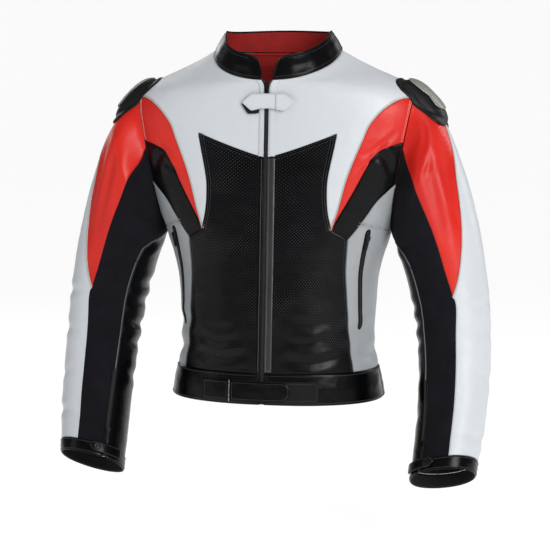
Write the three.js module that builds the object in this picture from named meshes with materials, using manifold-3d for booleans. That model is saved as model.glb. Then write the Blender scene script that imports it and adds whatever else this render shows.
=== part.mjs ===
// Leather riding jacket, millimetres, +Z up, worn shape.
// +X is the wearer's left, the front faces -Y. Working heights are measured from the front hem;
// the finished group is moved so that its origin is the middle of the neck opening.
import * as THREE from 'three';
import { mergeVertices } from 'three/addons/utils/BufferGeometryUtils.js';
import Module from 'manifold-3d';

const wasm = await Module();
wasm.setup();

// ---------- driving dimensions ----------
const NECK_CENTRE = { y: 14, z: 580 };
const HEM = 15;
const WAIST_SEAM = 68;
const NECK_SEAM = 607;
const FRONT_Y = -118;        // centre front at height 0
const FRONT_SLOPE = 0.08;    // centre front leans back this much per millimetre of height
const MID_Y = 14;            // widest line of the body
const SHELL = 2.6;           // leather and its backing
const SEAM_GAP = 0.7;        // left between two neighbouring panels
const LINING_DEPTH = 9;
const LINING_THICKNESS = 0.9;
const LINING_HEM = 32;
const ELBOW = 0.5;           // place of the elbow along the sleeve, 0 armhole to 1 cuff edge
const CUFF_SEAM = 0.957;
const ZIP_GAP = 3.6;         // half the slot that the front zip fills
const ZIP_TOP = 548;
const COLLAR_HEIGHT = 37;
const COLLAR_SIDE_DROP = 0.2;    // the collar is this much lower at the sides of the neck
const SLEEVE_LENGTH = 640;
const TAPE_HEIGHT = 22;      // trouser zip tape, and how far it hangs below the hem
const TAPE_DROP = 10;
const TORSO_EDGE = 54;       // longest facet edge on each surface
const SLEEVE_EDGE = 38;

// height, half width, back depth, front tilt, back tilt, squareness
const TORSO_RINGS = [
  [0, 188, 118, 0, 0, 2.3],
  [50, 178, 112, 0, 0, 2.3],
  [110, 167, 104, 0, 0, 2.3],
  [180, 170, 108, 0, 0, 2.3],
  [240, 177, 114, 0, 0, 2.3],
  [300, 196, 120, 0, 0, 2.35],
  [380, 228, 124, 0, 0, 2.35],
  [470, 254, 118, 0, 0, 2.35],
  [520, 252, 110, 0.04, 0, 2.3],
  [548, 228, 102, 0.12, 0, 2.25],
  [574, 174, 94, 0.28, -0.05, 2.2],
  [592, 136, 86, 0.44, -0.08, 2.1],
  [608, 108, 78, 0.58, -0.1, 2.05],
];
const ARMHOLE = { bottom: { z: 303.7, x: 197.3 }, top: { z: 537.4, x: 240.4 } };

// place along the sleeve, inner x and z, outer x and z, middle y, half depth, forward lean in degrees
const SLEEVE_RINGS = [
  [0, ARMHOLE.bottom.x, ARMHOLE.bottom.z, ARMHOLE.top.x, ARMHOLE.top.z, 8, 78, 0],
  [0.1, 205, 282, 280, 498, 8, 80, 0],
  [0.22, 217, 250, 313, 425, 8, 76, 0],
  [0.36, 231, 205, 346, 315, 5, 70, 3],
  [0.5, 244, 145, 366, 195, -4, 64, 9],
  [0.62, 251, 85, 371, 115, -16, 61, 14],
  [0.8, 254, -10, 370, 12, -50, 57, 22],
  [1, 250, -108, 358, -90, -100, 53, 29],
];
const ARMHOLE_BLEND = 0.14;  // length over which the sleeve turns from the armhole into a round tube

// ---------- materials ----------
const leather = (colour, roughness = 0.45) =>
  new THREE.MeshStandardMaterial({ color: colour, roughness, metalness: 0 });
const WHITE = leather(0xe2e5e8);
const BLACK = leather(0x101114, 0.35);
const PERFORATED = leather(0x15161a, 0.5);
const RED = leather(0xe02a1f);
const GREY = leather(0xa6adb0);
const STRETCH = leather(0x14141c, 0.95);
const LINING = leather(0xa81818, 0.9);
const FOAM = leather(0x3a3d42, 0.95);
const SHELL_GREY = new THREE.MeshStandardMaterial({ color: 0x96938c, roughness: 0.3, metalness: 0 });
const MOULDED = new THREE.MeshStandardMaterial({ color: 0x1e2023, roughness: 0.5, metalness: 0 });
const METAL = new THREE.MeshStandardMaterial({ color: 0x2a2a2c, roughness: 0.35, metalness: 0.9 });

// ---------- curves ----------
const rad = THREE.MathUtils.degToRad;

// A smooth table lookup: the first number of each row is where it holds.
function lookup(rows) {
  const at = rows.map((row) => row[0]);
  const last = rows.length - 1;
  const slope = (i, k) => (rows[i + 1][k] - rows[i][k]) / (at[i + 1] - at[i]);
  const tangent = (i, k) => {
    if (i === 0) return slope(0, k);
    if (i === last) return slope(last - 1, k);
    const before = at[i] - at[i - 1];
    const after = at[i + 1] - at[i];
    return (slope(i - 1, k) * after + slope(i, k) * before) / (before + after);
  };
  return (t) => {
    const place = Math.min(Math.max(t, at[0]), at[last]);
    let i = 0;
    while (i < last - 1 && place >= at[i + 1]) i += 1;
    const h = at[i + 1] - at[i];
    const s = (place - at[i]) / h;
    const s2 = s * s;
    const s3 = s2 * s;
    return rows[i].slice(1).map((value, column) => {
      const k = column + 1;
      return (2 * s3 - 3 * s2 + 1) * value + (s3 - 2 * s2 + s) * h * tangent(i, k)
        + (3 * s2 - 2 * s3) * rows[i + 1][k] + (s3 - s2) * h * tangent(i + 1, k);
    });
  };
}

// A seam drawn as a smooth line through a few points of a surface.
function seam(points, pieces = 2 * points.length) {
  const curve = new THREE.CatmullRomCurve3(
    points.map(([a, b]) => new THREE.Vector3(a, b, 0)), false, 'centripetal');
  return curve.getPoints(pieces).map((p) => [p.x, p.y]);
}

function line(from, to, pieces) {
  return Array.from({ length: pieces + 1 }, (_, i) => [
    from[0] + (to[0] - from[0]) * i / pieces,
    from[1] + (to[1] - from[1]) * i / pieces,
  ]);
}

const reversed = (points) => [...points].reverse();

// Joins runs of points end to end and drops the repeated corners.
function outline(...runs) {
  const joined = runs.flat();
  return joined.filter((p, i) => {
    const q = joined[(i + 1) % joined.length];
    return Math.abs(p[0] - q[0]) > 1e-6 || Math.abs(p[1] - q[1]) > 1e-6;
  });
}

// ---------- the two body surfaces ----------
const torsoRing = lookup(TORSO_RINGS);
const sleeveRing = lookup(SLEEVE_RINGS);

// Point of the torso: angle in degrees from the centre front towards +X, and nominal height.
function torso(angle, height) {
  const [width, back, frontTilt, backTilt, power] = torsoRing(height);
  const sin = Math.sin(rad(angle));
  const cos = Math.cos(rad(angle));
  const frontHeight = (height + frontTilt * (FRONT_Y - MID_Y)) / (1 - frontTilt * FRONT_SLOPE);
  const frontDepth = MID_Y - (FRONT_Y + FRONT_SLOPE * frontHeight);
  const depth = cos > 0 ? frontDepth : back - MID_Y;
  const x = width * Math.sign(sin) * Math.abs(sin) ** (2 / power);
  const y = MID_Y - depth * Math.sign(cos) * Math.abs(cos) ** (2 / power);
  const tilt = cos > 0 ? frontTilt : backTilt;
  return new THREE.Vector3(x, y, height + tilt * (y - MID_Y));
}

// The angle at which the torso's ring at this height is x wide.
function angleAt(x, height) {
  const [width, , , , power] = torsoRing(height);
  const ratio = Math.min(x / width, 1);
  return THREE.MathUtils.radToDeg(Math.asin(ratio ** (power / 2)));
}

// The front edge of the armhole lies on a steep plane that cuts the side off the torso.
function armholeAngle(height) {
  const { bottom, top } = ARMHOLE;
  const x = bottom.x + (top.x - bottom.x) * (height - bottom.z) / (top.z - bottom.z);
  return angleAt(x, height);
}

// Point of the sleeve: angle in degrees from the inner side over the front, and place along it.
function sleeve(angle, place) {
  const [innerX, innerZ, outerX, outerZ, midY, radius, leanDegrees] = sleeveRing(place);
  const sin = Math.sin(rad(angle));
  const share = (1 - Math.cos(rad(angle))) / 2;
  const lean = rad(leanDegrees);
  const depth = radius * Math.sign(-sin) * Math.abs(sin) ** 0.9;
  const x = innerX + (outerX - innerX) * share;
  const z = innerZ + (outerZ - innerZ) * share;
  const tube = new THREE.Vector3(x, midY + depth * Math.cos(lean), z - depth * Math.sin(lean));
  const { bottom, top } = ARMHOLE;
  const ringHeight = bottom.z + (top.z - bottom.z) * share;
  const ringAngle = armholeAngle(ringHeight);
  const ring = torso(sin < 0 ? 180 - ringAngle : ringAngle, ringHeight);
  ring.x += x - (bottom.x + (top.x - bottom.x) * share);
  ring.z += z - ringHeight;
  const t = Math.min(place / ARMHOLE_BLEND, 1);
  return ring.lerp(tube, t * t * (3 - 2 * t));
}

// Stand-up collar: angle as on the torso, and height above the neck seam.
function collar(angle, height) {
  const base = torso(angle, NECK_SEAM + 0.5);
  const share = height / COLLAR_HEIGHT;
  const lower = COLLAR_SIDE_DROP * Math.sin(rad(angle)) ** 2;
  base.x *= 1 - 0.17 * share;
  base.y = MID_Y + (base.y - MID_Y) * (1 - 0.12 * share);
  base.z += height * (1 - lower) + 1;
  return base;
}

// Moves a surface point out along the surface's normal.
function offsetPoint(surface, step, a, b, distance) {
  const da = surface.at(a + step[0], b).sub(surface.at(a - step[0], b));
  const low = Math.max(b - step[1], surface.range[0]);
  const high = Math.min(b + step[1], surface.range[1]);
  const db = surface.at(a, high).sub(surface.at(a, low));
  const normal = da.cross(db).normalize().multiplyScalar(surface.outward);
  return surface.at(a, b).addScaledVector(normal, distance);
}

const TORSO = { at: torso, outward: 1, scale: [3.4, 1], step: [0.6, 1.5], range: [0, 608], edge: TORSO_EDGE };
const SLEEVE = {
  at: sleeve, outward: -1, scale: [1.2, SLEEVE_LENGTH], step: [1, 0.004], range: [0, 1], edge: SLEEVE_EDGE,
};
const COLLAR = { at: collar, outward: 1, scale: [1.6, 1], step: [1, 1], range: [0, COLLAR_HEIGHT], edge: 30 };

// ---------- closed solids ----------
function solidFrom(points, triangles) {
  const geometry = new THREE.BufferGeometry();
  const flat = points.flatMap((p) => [p.x, p.y, p.z]);
  geometry.setAttribute('position', new THREE.Float32BufferAttribute(flat, 3));
  geometry.setIndex(triangles.flat());
  return geometry;
}

// Moves every edge of a drawn outline inwards by the same distance.
function inset(points, distance) {
  const area = points.reduce((sum, p, i) => {
    const q = points[(i + 1) % points.length];
    return sum + p[0] * q[1] - q[0] * p[1];
  }, 0);
  const side = Math.sign(area) * distance;
  return points.map((p, i) => {
    const before = points[(i + points.length - 1) % points.length];
    const after = points[(i + 1) % points.length];
    const d1 = new THREE.Vector2(p[0] - before[0], p[1] - before[1]).normalize();
    const d2 = new THREE.Vector2(after[0] - p[0], after[1] - p[1]).normalize();
    const n1 = new THREE.Vector2(-d1.y, d1.x);
    const n2 = new THREE.Vector2(-d2.y, d2.x);
    const middle = n1.clone().add(n2);
    const reach = side * 2 / Math.max(middle.lengthSq(), 0.35);
    return [p[0] + middle.x * reach, p[1] + middle.y * reach];
  });
}

// Turns the shared side of two triangles wherever that makes both of them rounder.
function turnSides(flat, triangles) {
  const list = triangles.map((t) => [...t]);
  for (let pass = 0; pass < 12; pass += 1) {
    const owner = new Map();
    list.forEach((t, n) => [0, 1, 2].forEach((i) => owner.set(`${t[i]},${t[(i + 1) % 3]}`, n)));
    const touched = new Set();
    for (const [name, n] of owner) {
      const [i, j] = name.split(',').map(Number);
      const m = owner.get(`${j},${i}`);
      if (m === undefined || i > j || touched.has(n) || touched.has(m)) continue;
      const k = list[n].find((v) => v !== i && v !== j);
      const l = list[m].find((v) => v !== i && v !== j);
      if (opposite(flat, k, i, j) + opposite(flat, l, i, j) < Math.PI + 0.02) continue;
      if (bend(flat, k, i, l) < 1e-6 || bend(flat, l, j, k) < 1e-6) continue;
      list[n] = [k, i, l];
      list[m] = [l, j, k];
      touched.add(n).add(m);
    }
    if (touched.size === 0) break;
  }
  return list;
}

// Twice the area of a flat triangle, positive when its corners run anticlockwise.
function bend(flat, i, j, k) {
  const across = (flat[j][0] - flat[i][0]) * (flat[k][1] - flat[i][1]);
  return across - (flat[j][1] - flat[i][1]) * (flat[k][0] - flat[i][0]);
}

// The angle at corner k between the ways to i and j.
function opposite(flat, k, i, j) {
  const a = [flat[i][0] - flat[k][0], flat[i][1] - flat[k][1]];
  const b = [flat[j][0] - flat[k][0], flat[j][1] - flat[k][1]];
  return Math.atan2(Math.abs(a[0] * b[1] - a[1] * b[0]), a[0] * b[0] + a[1] * b[1]);
}

// Splits the longest edges until none is longer than the limit.
function refine(flat, triangles, longest, measure) {
  const upright = bend(flat, ...triangles[0]) > 0 ? triangles : triangles.map(([a, b, c]) => [a, c, b]);
  let list = turnSides(flat, upright);
  for (let pass = 0; pass < 24; pass += 1) {
    const marked = new Map();
    const key = (i, j) => (i < j ? `${i},${j}` : `${j},${i}`);
    for (const t of list) {
      const sides = [[t[0], t[1]], [t[1], t[2]], [t[2], t[0]]];
      const lengths = sides.map(([i, j]) => measure(flat[i], flat[j]));
      const most = Math.max(...lengths);
      if (most > longest) marked.set(key(...sides[lengths.indexOf(most)]), -1);
    }
    if (marked.size === 0) break;
    const middle = (i, j) => {
      const name = key(i, j);
      if (!marked.has(name)) return -1;
      if (marked.get(name) < 0) {
        flat.push([(flat[i][0] + flat[j][0]) / 2, (flat[i][1] + flat[j][1]) / 2]);
        marked.set(name, flat.length - 1);
      }
      return marked.get(name);
    };
    const next = [];
    for (const [a, b, c] of list) {
      const m = [middle(a, b), middle(b, c), middle(c, a)];
      next.push(...splitTriangle([a, b, c], m));
    }
    list = turnSides(flat, next);
  }
  return list;
}

function splitTriangle([a, b, c], [ab, bc, ca]) {
  const count = [ab, bc, ca].filter((m) => m >= 0).length;
  if (count === 0) return [[a, b, c]];
  if (count === 3) return [[a, ab, ca], [ab, b, bc], [ca, bc, c], [ab, bc, ca]];
  if (ab < 0) return splitTriangle([b, c, a], [bc, ca, ab]);
  if (count === 1) return [[a, ab, c], [ab, b, c]];
  if (bc >= 0) return [[a, ab, c], [ab, b, bc], [ab, bc, c]];
  return [[ab, b, c], [a, ab, ca], [ab, c, ca]];
}

// A panel: the part of a surface inside an outline, between two depths along the normal.
function panel(surface, edge, options = {}) {
  const { outer = 0, inner = -SHELL, holes = [], longest = surface.edge, gap = SEAM_GAP } = options;
  const scaled = (points) => points.map(([a, b]) => [a * surface.scale[0], b * surface.scale[1]]);
  const shrunk = inset(scaled(edge), gap / 2);
  const cut = holes.map((hole) => inset(scaled(hole), -gap / 2));
  const vectors = (points) => points.map(([a, b]) => new THREE.Vector2(a, b));
  const flat = [shrunk, ...cut].flat();
  let triangles = THREE.ShapeUtils.triangulateShape(vectors(shrunk), cut.map(vectors));
  const place = ([a, b], distance) =>
    offsetPoint(surface, surface.step, a / surface.scale[0], b / surface.scale[1], distance);
  triangles = refine(flat, triangles, longest, (p, q) => place(p, 0).distanceTo(place(q, 0)));
  const facing = surface.outward > 0 ? triangles : triangles.map(([a, b, c]) => [a, c, b]);
  const points = [...flat.map((p) => place(p, outer)), ...flat.map((p) => place(p, inner))];
  const n = flat.length;
  const used = new Set(facing.flatMap(([a, b, c]) => [`${a},${b}`, `${b},${c}`, `${c},${a}`]));
  const walls = [];
  for (const name of used) {
    const [a, b] = name.split(',').map(Number);
    if (!used.has(`${b},${a}`)) walls.push([b, a, a + n], [b, a + n, b + n]);
  }
  const under = facing.map(([a, b, c]) => [a + n, c + n, b + n]);
  return solidFrom(points, [...facing, ...under, ...walls]);
}

function toSolid(geometry) {
  const bare = geometry.clone();
  bare.deleteAttribute('normal');
  bare.deleteAttribute('uv');
  const merged = mergeVertices(bare, 1e-4);
  return new wasm.Manifold(new wasm.Mesh({
    numProp: 3,
    vertProperties: new Float32Array(merged.attributes.position.array),
    triVerts: new Uint32Array(merged.index.array),
  }));
}

function toGeometry(solid) {
  const mesh = solid.getMesh();
  const geometry = new THREE.BufferGeometry();
  geometry.setAttribute('position', new THREE.BufferAttribute(new Float32Array(mesh.vertProperties), 3));
  geometry.setIndex([...mesh.triVerts]);
  return geometry;
}

// The mirror image across the middle plane, faces still pointing out.
function mirrored(geometry) {
  const copy = geometry.index ? geometry.clone() : mergeVertices(geometry.clone());
  copy.scale(-1, 1, 1);
  const index = copy.index.array;
  for (let i = 0; i < index.length; i += 3) {
    const second = index[i + 1];
    index[i + 1] = index[i + 2];
    index[i + 2] = second;
  }
  return copy;
}

// ---------- assembly ----------
const jacket = new THREE.Group();
jacket.position.set(0, -NECK_CENTRE.y, -NECK_CENTRE.z);

function add(name, geometry, material) {
  const mesh = new THREE.Mesh(geometry, material);
  mesh.name = name;
  jacket.add(mesh);
  return mesh;
}

// The wearer's left piece and its mirror image on the right.
function addPair(name, geometry, material) {
  add(`${name}_left`, geometry, material);
  add(`${name}_right`, mirrored(geometry), material);
}

// ---------- torso seams, on the wearer's left ----------
const FRONT_TOP_DIP = [0, 428];
const FRONT_TOP_CORNER = [24, 468];
const PANEL_TIP = [30, 308];
const SIDE_CORNER = [42, 292];
const RED_TOP = 531;
const RED_BOTTOM = 453;
const GREY_TOP = 384;
const SIDE_BACK = 126;
const YOKE_DIP = 366;
const KIDNEY_TOP = 150;

const centreAngle = (height) => angleAt(ZIP_GAP, height);
const centreEdge = (low, high) => line([0, low], [0, high], 6).map(([, z]) => [centreAngle(z), z]);
// Heights are spaced evenly round the armhole, so that its round ends stay round.
const armholeFront = (low, high, pieces = 5) => {
  const { bottom, top } = ARMHOLE;
  const round = (z) => Math.acos(1 - 2 * (z - bottom.z) / (top.z - bottom.z));
  return line([round(low), 0], [round(high), 0], pieces).map(([turn]) => {
    const z = bottom.z + (top.z - bottom.z) * (1 - Math.cos(turn)) / 2;
    return [armholeAngle(z), z];
  });
};
const armholeBack = (low, high, pieces = 5) => armholeFront(low, high, pieces).map(([a, z]) => [180 - a, z]);

const whiteToPerforated = seam([FRONT_TOP_CORNER, [23, 424], [23, 383], [25.5, 342], PANEL_TIP]);
const whiteToRed = seam([[armholeAngle(RED_TOP), RED_TOP], [60, 528], [48, 514], [40, 490], [36, 458],
  [33, 418], [31.5, 380], [31, 340], PANEL_TIP]);
const redToUnderarm = seam([[armholeAngle(RED_BOTTOM), RED_BOTTOM], [48, 442], [43, 428], [40.5, 406],
  [37, 370], PANEL_TIP]);
const underarmToGrey = seam([[armholeAngle(GREY_TOP), GREY_TOP], [55, 357], [50, 330], [45, 304],
  SIDE_CORNER]);
const frontToGrey = seam([SIDE_CORNER, [45, 257], [50, 190], [55, 110], [55, WAIST_SEAM]]);
const kidneyShare = (KIDNEY_TOP - WAIST_SEAM) / (GREY_TOP - WAIST_SEAM);
const kidneyCorner = [SIDE_BACK + kidneyShare * (180 - armholeAngle(GREY_TOP) - SIDE_BACK), KIDNEY_TOP];
const greyToKidney = line([SIDE_BACK, WAIST_SEAM], kidneyCorner, 2);
const greyToBlack = line(kidneyCorner, [180 - armholeAngle(GREY_TOP), GREY_TOP], 5);

function chestWhite() {
  return panel(TORSO, outline(
    line([centreAngle(NECK_SEAM), NECK_SEAM], [90, NECK_SEAM], 6),
    line([90, NECK_SEAM], [90, ARMHOLE.top.z], 3),
    reversed(armholeFront(RED_TOP, ARMHOLE.top.z, 3)),
    whiteToRed,
    reversed(whiteToPerforated),
    [[centreAngle(FRONT_TOP_DIP[1]), FRONT_TOP_DIP[1]]],
    centreEdge(FRONT_TOP_DIP[1], NECK_SEAM),
  ));
}

function frontPerforated() {
  return panel(TORSO, outline(
    [[centreAngle(FRONT_TOP_DIP[1]), FRONT_TOP_DIP[1]]],
    whiteToPerforated,
    frontToGrey,
    line([55, WAIST_SEAM], [centreAngle(WAIST_SEAM), WAIST_SEAM], 4),
    centreEdge(WAIST_SEAM, FRONT_TOP_DIP[1]),
  ));
}

function shoulderRed() {
  return panel(TORSO, outline(whiteToRed, reversed(redToUnderarm), armholeFront(RED_BOTTOM, RED_TOP)));
}

function underarmPerforated() {
  return panel(TORSO, outline(
    reversed(redToUnderarm), reversed(armholeFront(GREY_TOP, RED_BOTTOM)), underarmToGrey,
  ));
}

function sideGrey() {
  return panel(TORSO, outline(
    reversed(underarmToGrey),
    reversed(armholeFront(ARMHOLE.bottom.z, GREY_TOP)),
    armholeBack(ARMHOLE.bottom.z, GREY_TOP),
    reversed(greyToBlack),
    reversed(greyToKidney),
    line([SIDE_BACK, WAIST_SEAM], [55, WAIST_SEAM], 5),
    reversed(frontToGrey),
  ));
}

const otherSide = (points) => points.map(([a, z]) => [360 - a, z]);
const yokeHem = seam([[180 - armholeAngle(GREY_TOP), GREY_TOP], [150, 372], [180, YOKE_DIP], [210, 372],
  [180 + armholeAngle(GREY_TOP), GREY_TOP]], 10);

function backYoke() {
  const side = outline(
    line([90, NECK_SEAM], [90, ARMHOLE.top.z], 3), reversed(armholeBack(GREY_TOP, ARMHOLE.top.z, 8)),
  );
  const neckLine = line([270, NECK_SEAM], [90, NECK_SEAM], 8);
  return panel(TORSO, outline(side, yokeHem, reversed(otherSide(side)), neckLine));
}

function backBlack() {
  return panel(TORSO, outline(
    greyToBlack, yokeHem, reversed(otherSide(greyToBlack)),
    line([360 - kidneyCorner[0], KIDNEY_TOP], kidneyCorner, 5),
  ));
}

function backKidney() {
  return panel(TORSO, outline(
    greyToKidney, line(kidneyCorner, [360 - kidneyCorner[0], KIDNEY_TOP], 5),
    reversed(otherSide(greyToKidney)), line([360 - SIDE_BACK, WAIST_SEAM], [SIDE_BACK, WAIST_SEAM], 5),
  ));
}

// One vest behind all the torso panels, open at the front, neck, hem and armholes.
function torsoLining() {
  const wide = outline(
    armholeFront(ARMHOLE.bottom.z, ARMHOLE.top.z, 8),
    reversed(armholeBack(ARMHOLE.bottom.z, ARMHOLE.top.z, 8)),
  );
  const across = TORSO.scale[0];
  const hole = inset(wide.map(([a, z]) => [a * across, z]), -4).map(([a, z]) => [a / across, z]);
  const edge = outline(
    line([4, LINING_HEM], [4, NECK_SEAM - 3], 8),
    line([4, NECK_SEAM - 3], [356, NECK_SEAM - 3], 12),
    line([356, NECK_SEAM - 3], [356, LINING_HEM], 8),
    line([356, LINING_HEM], [4, LINING_HEM], 12),
  );
  const inner = -LINING_DEPTH - LINING_THICKNESS;
  return panel(TORSO, edge, { outer: -LINING_DEPTH, inner, holes: [hole, otherSide(hole)], longest: 80 });
}

function backProtector() {
  return panel(TORSO, outline(
    seam([[158, 170], [150, 260], [148, 360], [156, 470]], 6),
    seam([[204, 470], [212, 360], [210, 260], [202, 170]], 6),
  ), { outer: -12, inner: -22, longest: 60 });
}

// ---------- waistband ----------
function waistbandFront() {
  return panel(TORSO, outline(
    centreEdge(HEM, WAIST_SEAM),
    line([centreAngle(WAIST_SEAM), WAIST_SEAM], [90, WAIST_SEAM], 6),
    line([90, WAIST_SEAM], [90, HEM], 2),
    line([90, HEM], [centreAngle(HEM), HEM], 6),
  ), { outer: 1.6 });
}

function waistbandBack() {
  return panel(TORSO, outline(
    line([90, HEM], [90, WAIST_SEAM], 2),
    line([90, WAIST_SEAM], [270, WAIST_SEAM], 10),
    line([270, WAIST_SEAM], [270, HEM], 2),
    line([270, HEM], [90, HEM], 10),
  ), { outer: 1.6 });
}

// A patch of the waistband between two distances from the centre front.
function waistPatch(fromX, toX, low, high, options, roundEnd = false) {
  const corner = (x, z) => [Math.sign(x) * angleAt(Math.abs(x), z), z];
  const half = (high - low) / 2;
  const onEnd = (a) => corner(toX - half + half * Math.cos(rad(a)), low + half + half * Math.sin(rad(a)));
  const end = roundEnd
    ? [-90, -60, -30, 0, 30, 60, 90].map(onEnd)
    : [corner(toX, low), corner(toX, high)];
  const edge = outline([corner(fromX, high), corner(fromX, low)], end);
  return panel(TORSO, edge, { gap: 0, longest: 30, ...options });
}

// The tape of the zip that joins the jacket to the trousers hangs inside the back hem in flat lengths.
function trouserZip() {
  const around = [130, 150, 170, 190, 210, 230];
  const onRing = (distance) => around.map((angle) => offsetPoint(TORSO, TORSO.step, angle, HEM, distance));
  const corners = [...onRing(-5), ...reversed(onRing(-7))].map((p) => new THREE.Vector2(p.x, p.y));
  const shape = new THREE.Shape(corners);
  const tape = new THREE.ExtrudeGeometry(shape, { depth: TAPE_HEIGHT, bevelEnabled: false });
  tape.translate(0, 0, HEM - TAPE_DROP);
  return tape;
}

// ---------- centre front, in a frame that lies along the zip ----------
const frontPlane = new THREE.Group();
frontPlane.position.set(0, FRONT_Y, 0);
frontPlane.rotation.x = -Math.atan(FRONT_SLOPE);
jacket.add(frontPlane);
const alongFront = (height) => height * Math.hypot(1, FRONT_SLOPE);

// A flat bar on the centre front: x range, height range, and how far it stands out of the leather.
function frontBar(x0, x1, low, high, back, front) {
  const bar = new THREE.BoxGeometry(x1 - x0, front - back, alongFront(high) - alongFront(low));
  bar.translate((x0 + x1) / 2, -(front + back) / 2, (alongFront(low) + alongFront(high)) / 2);
  return bar;
}

function addFront(name, geometry, material) {
  const mesh = add(name, geometry, material);
  frontPlane.add(mesh);
  return mesh;
}

const roundedShape = (width, height, radius) => {
  const shape = new THREE.Shape();
  const x = width / 2;
  const y = height / 2;
  shape.moveTo(x - radius, -y);
  shape.absarc(x - radius, -y + radius, radius, -Math.PI / 2, 0, false);
  shape.absarc(x - radius, y - radius, radius, 0, Math.PI / 2, false);
  shape.absarc(-x + radius, y - radius, radius, Math.PI / 2, Math.PI, false);
  shape.absarc(-x + radius, -y + radius, radius, Math.PI, Math.PI * 1.5, false);
  return shape;
};

const plate = (shape, thickness) => new THREE.ExtrudeGeometry(shape, {
  depth: thickness, bevelEnabled: false, curveSegments: 4,
});

const SLIDER = { width: 9, length: 12, bottom: 1.9, top: 4.2 };
const PULL = { width: 7, length: 18, thickness: 1.2 };
const SLIDER_REST = 529;     // closed, just under the neck tab, its pull turned up

// Slider body with the low bridge that holds its pull.
function zipSlider() {
  const body = plate(roundedShape(SLIDER.width, SLIDER.length, 3), SLIDER.top - SLIDER.bottom - 0.9);
  const bridge = new THREE.BoxGeometry(3, 6, 1.4);
  bridge.translate(0, 2, SLIDER.top - SLIDER.bottom - 0.7);
  return toGeometry(toSolid(body).add(toSolid(bridge)));
}

// A flat pull with an eye at one end.
function zipPull(length) {
  const shape = roundedShape(PULL.width, length, 2.2);
  const eye = new THREE.Path();
  eye.absellipse(0, length / 2 - 5, 1.8, 2.2, 0, Math.PI * 2, true);
  shape.holes.push(eye);
  return plate(shape, PULL.thickness);
}

// ---------- sleeve seams, on the wearer's left ----------
const RED_TIP = [100, 0.475];
const FOREARM_FRONT = 103;   // where the white outer panel ends at the elbow, in front
const INNER_BACK = -60;      // and behind, seen from the inner side
const LEATHER_START = -8;    // the under-sleeve leather starts here at the elbow

const redInner = seam([[100, 0], [92, 0.07], [90, 0.165], [92, 0.28], [94, 0.38], RED_TIP]);
const redOuter = seam([RED_TIP, [112, 0.44], [122, 0.4], [135, 0.34], [150, 0.25], [166, 0.18], [180, 0.11]]);
const topRidge = line([180, 0.11], [180, 0], 2);
const elbowBelowRed = line(RED_TIP, [FOREARM_FRONT, ELBOW], 1);
const backSeam = seam([[-90, 0], [-82, 0.15], [-70, 0.35], [INNER_BACK, ELBOW]], 6);
const forearmFront = seam([[FOREARM_FRONT, ELBOW], [99, 0.64], [100, 0.83], [103, CUFF_SEAM]]);
const forearmInner = seam([[LEATHER_START, ELBOW], [25, 0.57], [43, 0.66], [47, 0.8], [52, CUFF_SEAM]]);
const forearmBack = seam([[INNER_BACK, ELBOW], [-66, 0.72], [-70, CUFF_SEAM]], 4);
const aroundBack = (points) => points.map(([a, s]) => [a + 360, s]);
const ring = (from, to, place, pieces = 6) => line([from, place], [to, place], pieces);

function sleeveRed() {
  return panel(SLEEVE, outline(redInner, redOuter, topRidge, ring(180, 100, 0, 4)));
}

function sleeveWhiteUpper() {
  return panel(SLEEVE, outline(
    reversed(topRidge), reversed(redOuter), elbowBelowRed,
    ring(FOREARM_FRONT, 360 + INNER_BACK, ELBOW, 8),
    aroundBack(reversed(backSeam)),
    ring(270, 180, 0, 4),
  ));
}

function sleeveStretchUpper() {
  return panel(SLEEVE, outline(
    redInner, elbowBelowRed, ring(FOREARM_FRONT, INNER_BACK, ELBOW, 8),
    reversed(backSeam), ring(-90, 100, 0, 10),
  ));
}

function sleeveWhiteLower() {
  return panel(SLEEVE, outline(
    forearmFront, ring(103, 290, CUFF_SEAM, 8), aroundBack(reversed(forearmBack)),
    ring(360 + INNER_BACK, FOREARM_FRONT, ELBOW, 8),
  ));
}

function sleeveStretchLower() {
  return panel(SLEEVE, outline(
    forearmInner, ring(52, 103, CUFF_SEAM, 3),
    reversed(forearmFront), ring(FOREARM_FRONT, LEATHER_START, ELBOW, 5),
  ));
}

function sleeveUnderLower() {
  return panel(SLEEVE, outline(
    forearmBack, ring(-70, 52, CUFF_SEAM, 5),
    reversed(forearmInner), ring(LEATHER_START, INNER_BACK, ELBOW, 3),
  ));
}

// ---------- cuff ----------
const ZIP_ANGLE = 52;        // the forearm zip runs out through the cuff here
const CUFF_BAND = { outer: 1.4, inner: -SHELL };
const CUFF_TAB = { from: 20, to: 74, middle: 0.972, half: 0.017 };

// Open band with a slit for the forearm zip.
function cuffBand() {
  const slit = 3.6;
  return panel(SLEEVE, outline(
    ring(ZIP_ANGLE + slit, ZIP_ANGLE + 360 - slit, CUFF_SEAM, 12),
    ring(ZIP_ANGLE + 360 - slit, ZIP_ANGLE + slit, 1, 12),
  ), CUFF_BAND);
}

// Strap over the slit, with its round snap on the free end.
function cuffTab() {
  const { from, to, middle, half } = CUFF_TAB;
  const tip = [[to, middle + half], [to + 6, middle], [to, middle - half]];
  const strap = panel(SLEEVE, [[from, middle - half], [from, middle + half], ...tip],
    { outer: 5.6, inner: 3.6, gap: 0 });
  const cap = new THREE.CylinderGeometry(5.5, 6.5, 3.2, 16);
  const centre = offsetPoint(SLEEVE, SLEEVE.step, to - 8, middle, 6.2);
  const under = offsetPoint(SLEEVE, SLEEVE.step, to - 8, middle, 0);
  const out = centre.clone().sub(under).normalize();
  cap.applyQuaternion(new THREE.Quaternion().setFromUnitVectors(new THREE.Vector3(0, 1, 0), out));
  cap.translate(centre.x, centre.y, centre.z);
  return toGeometry(toSolid(strap).add(toSolid(cap)));
}

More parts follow.
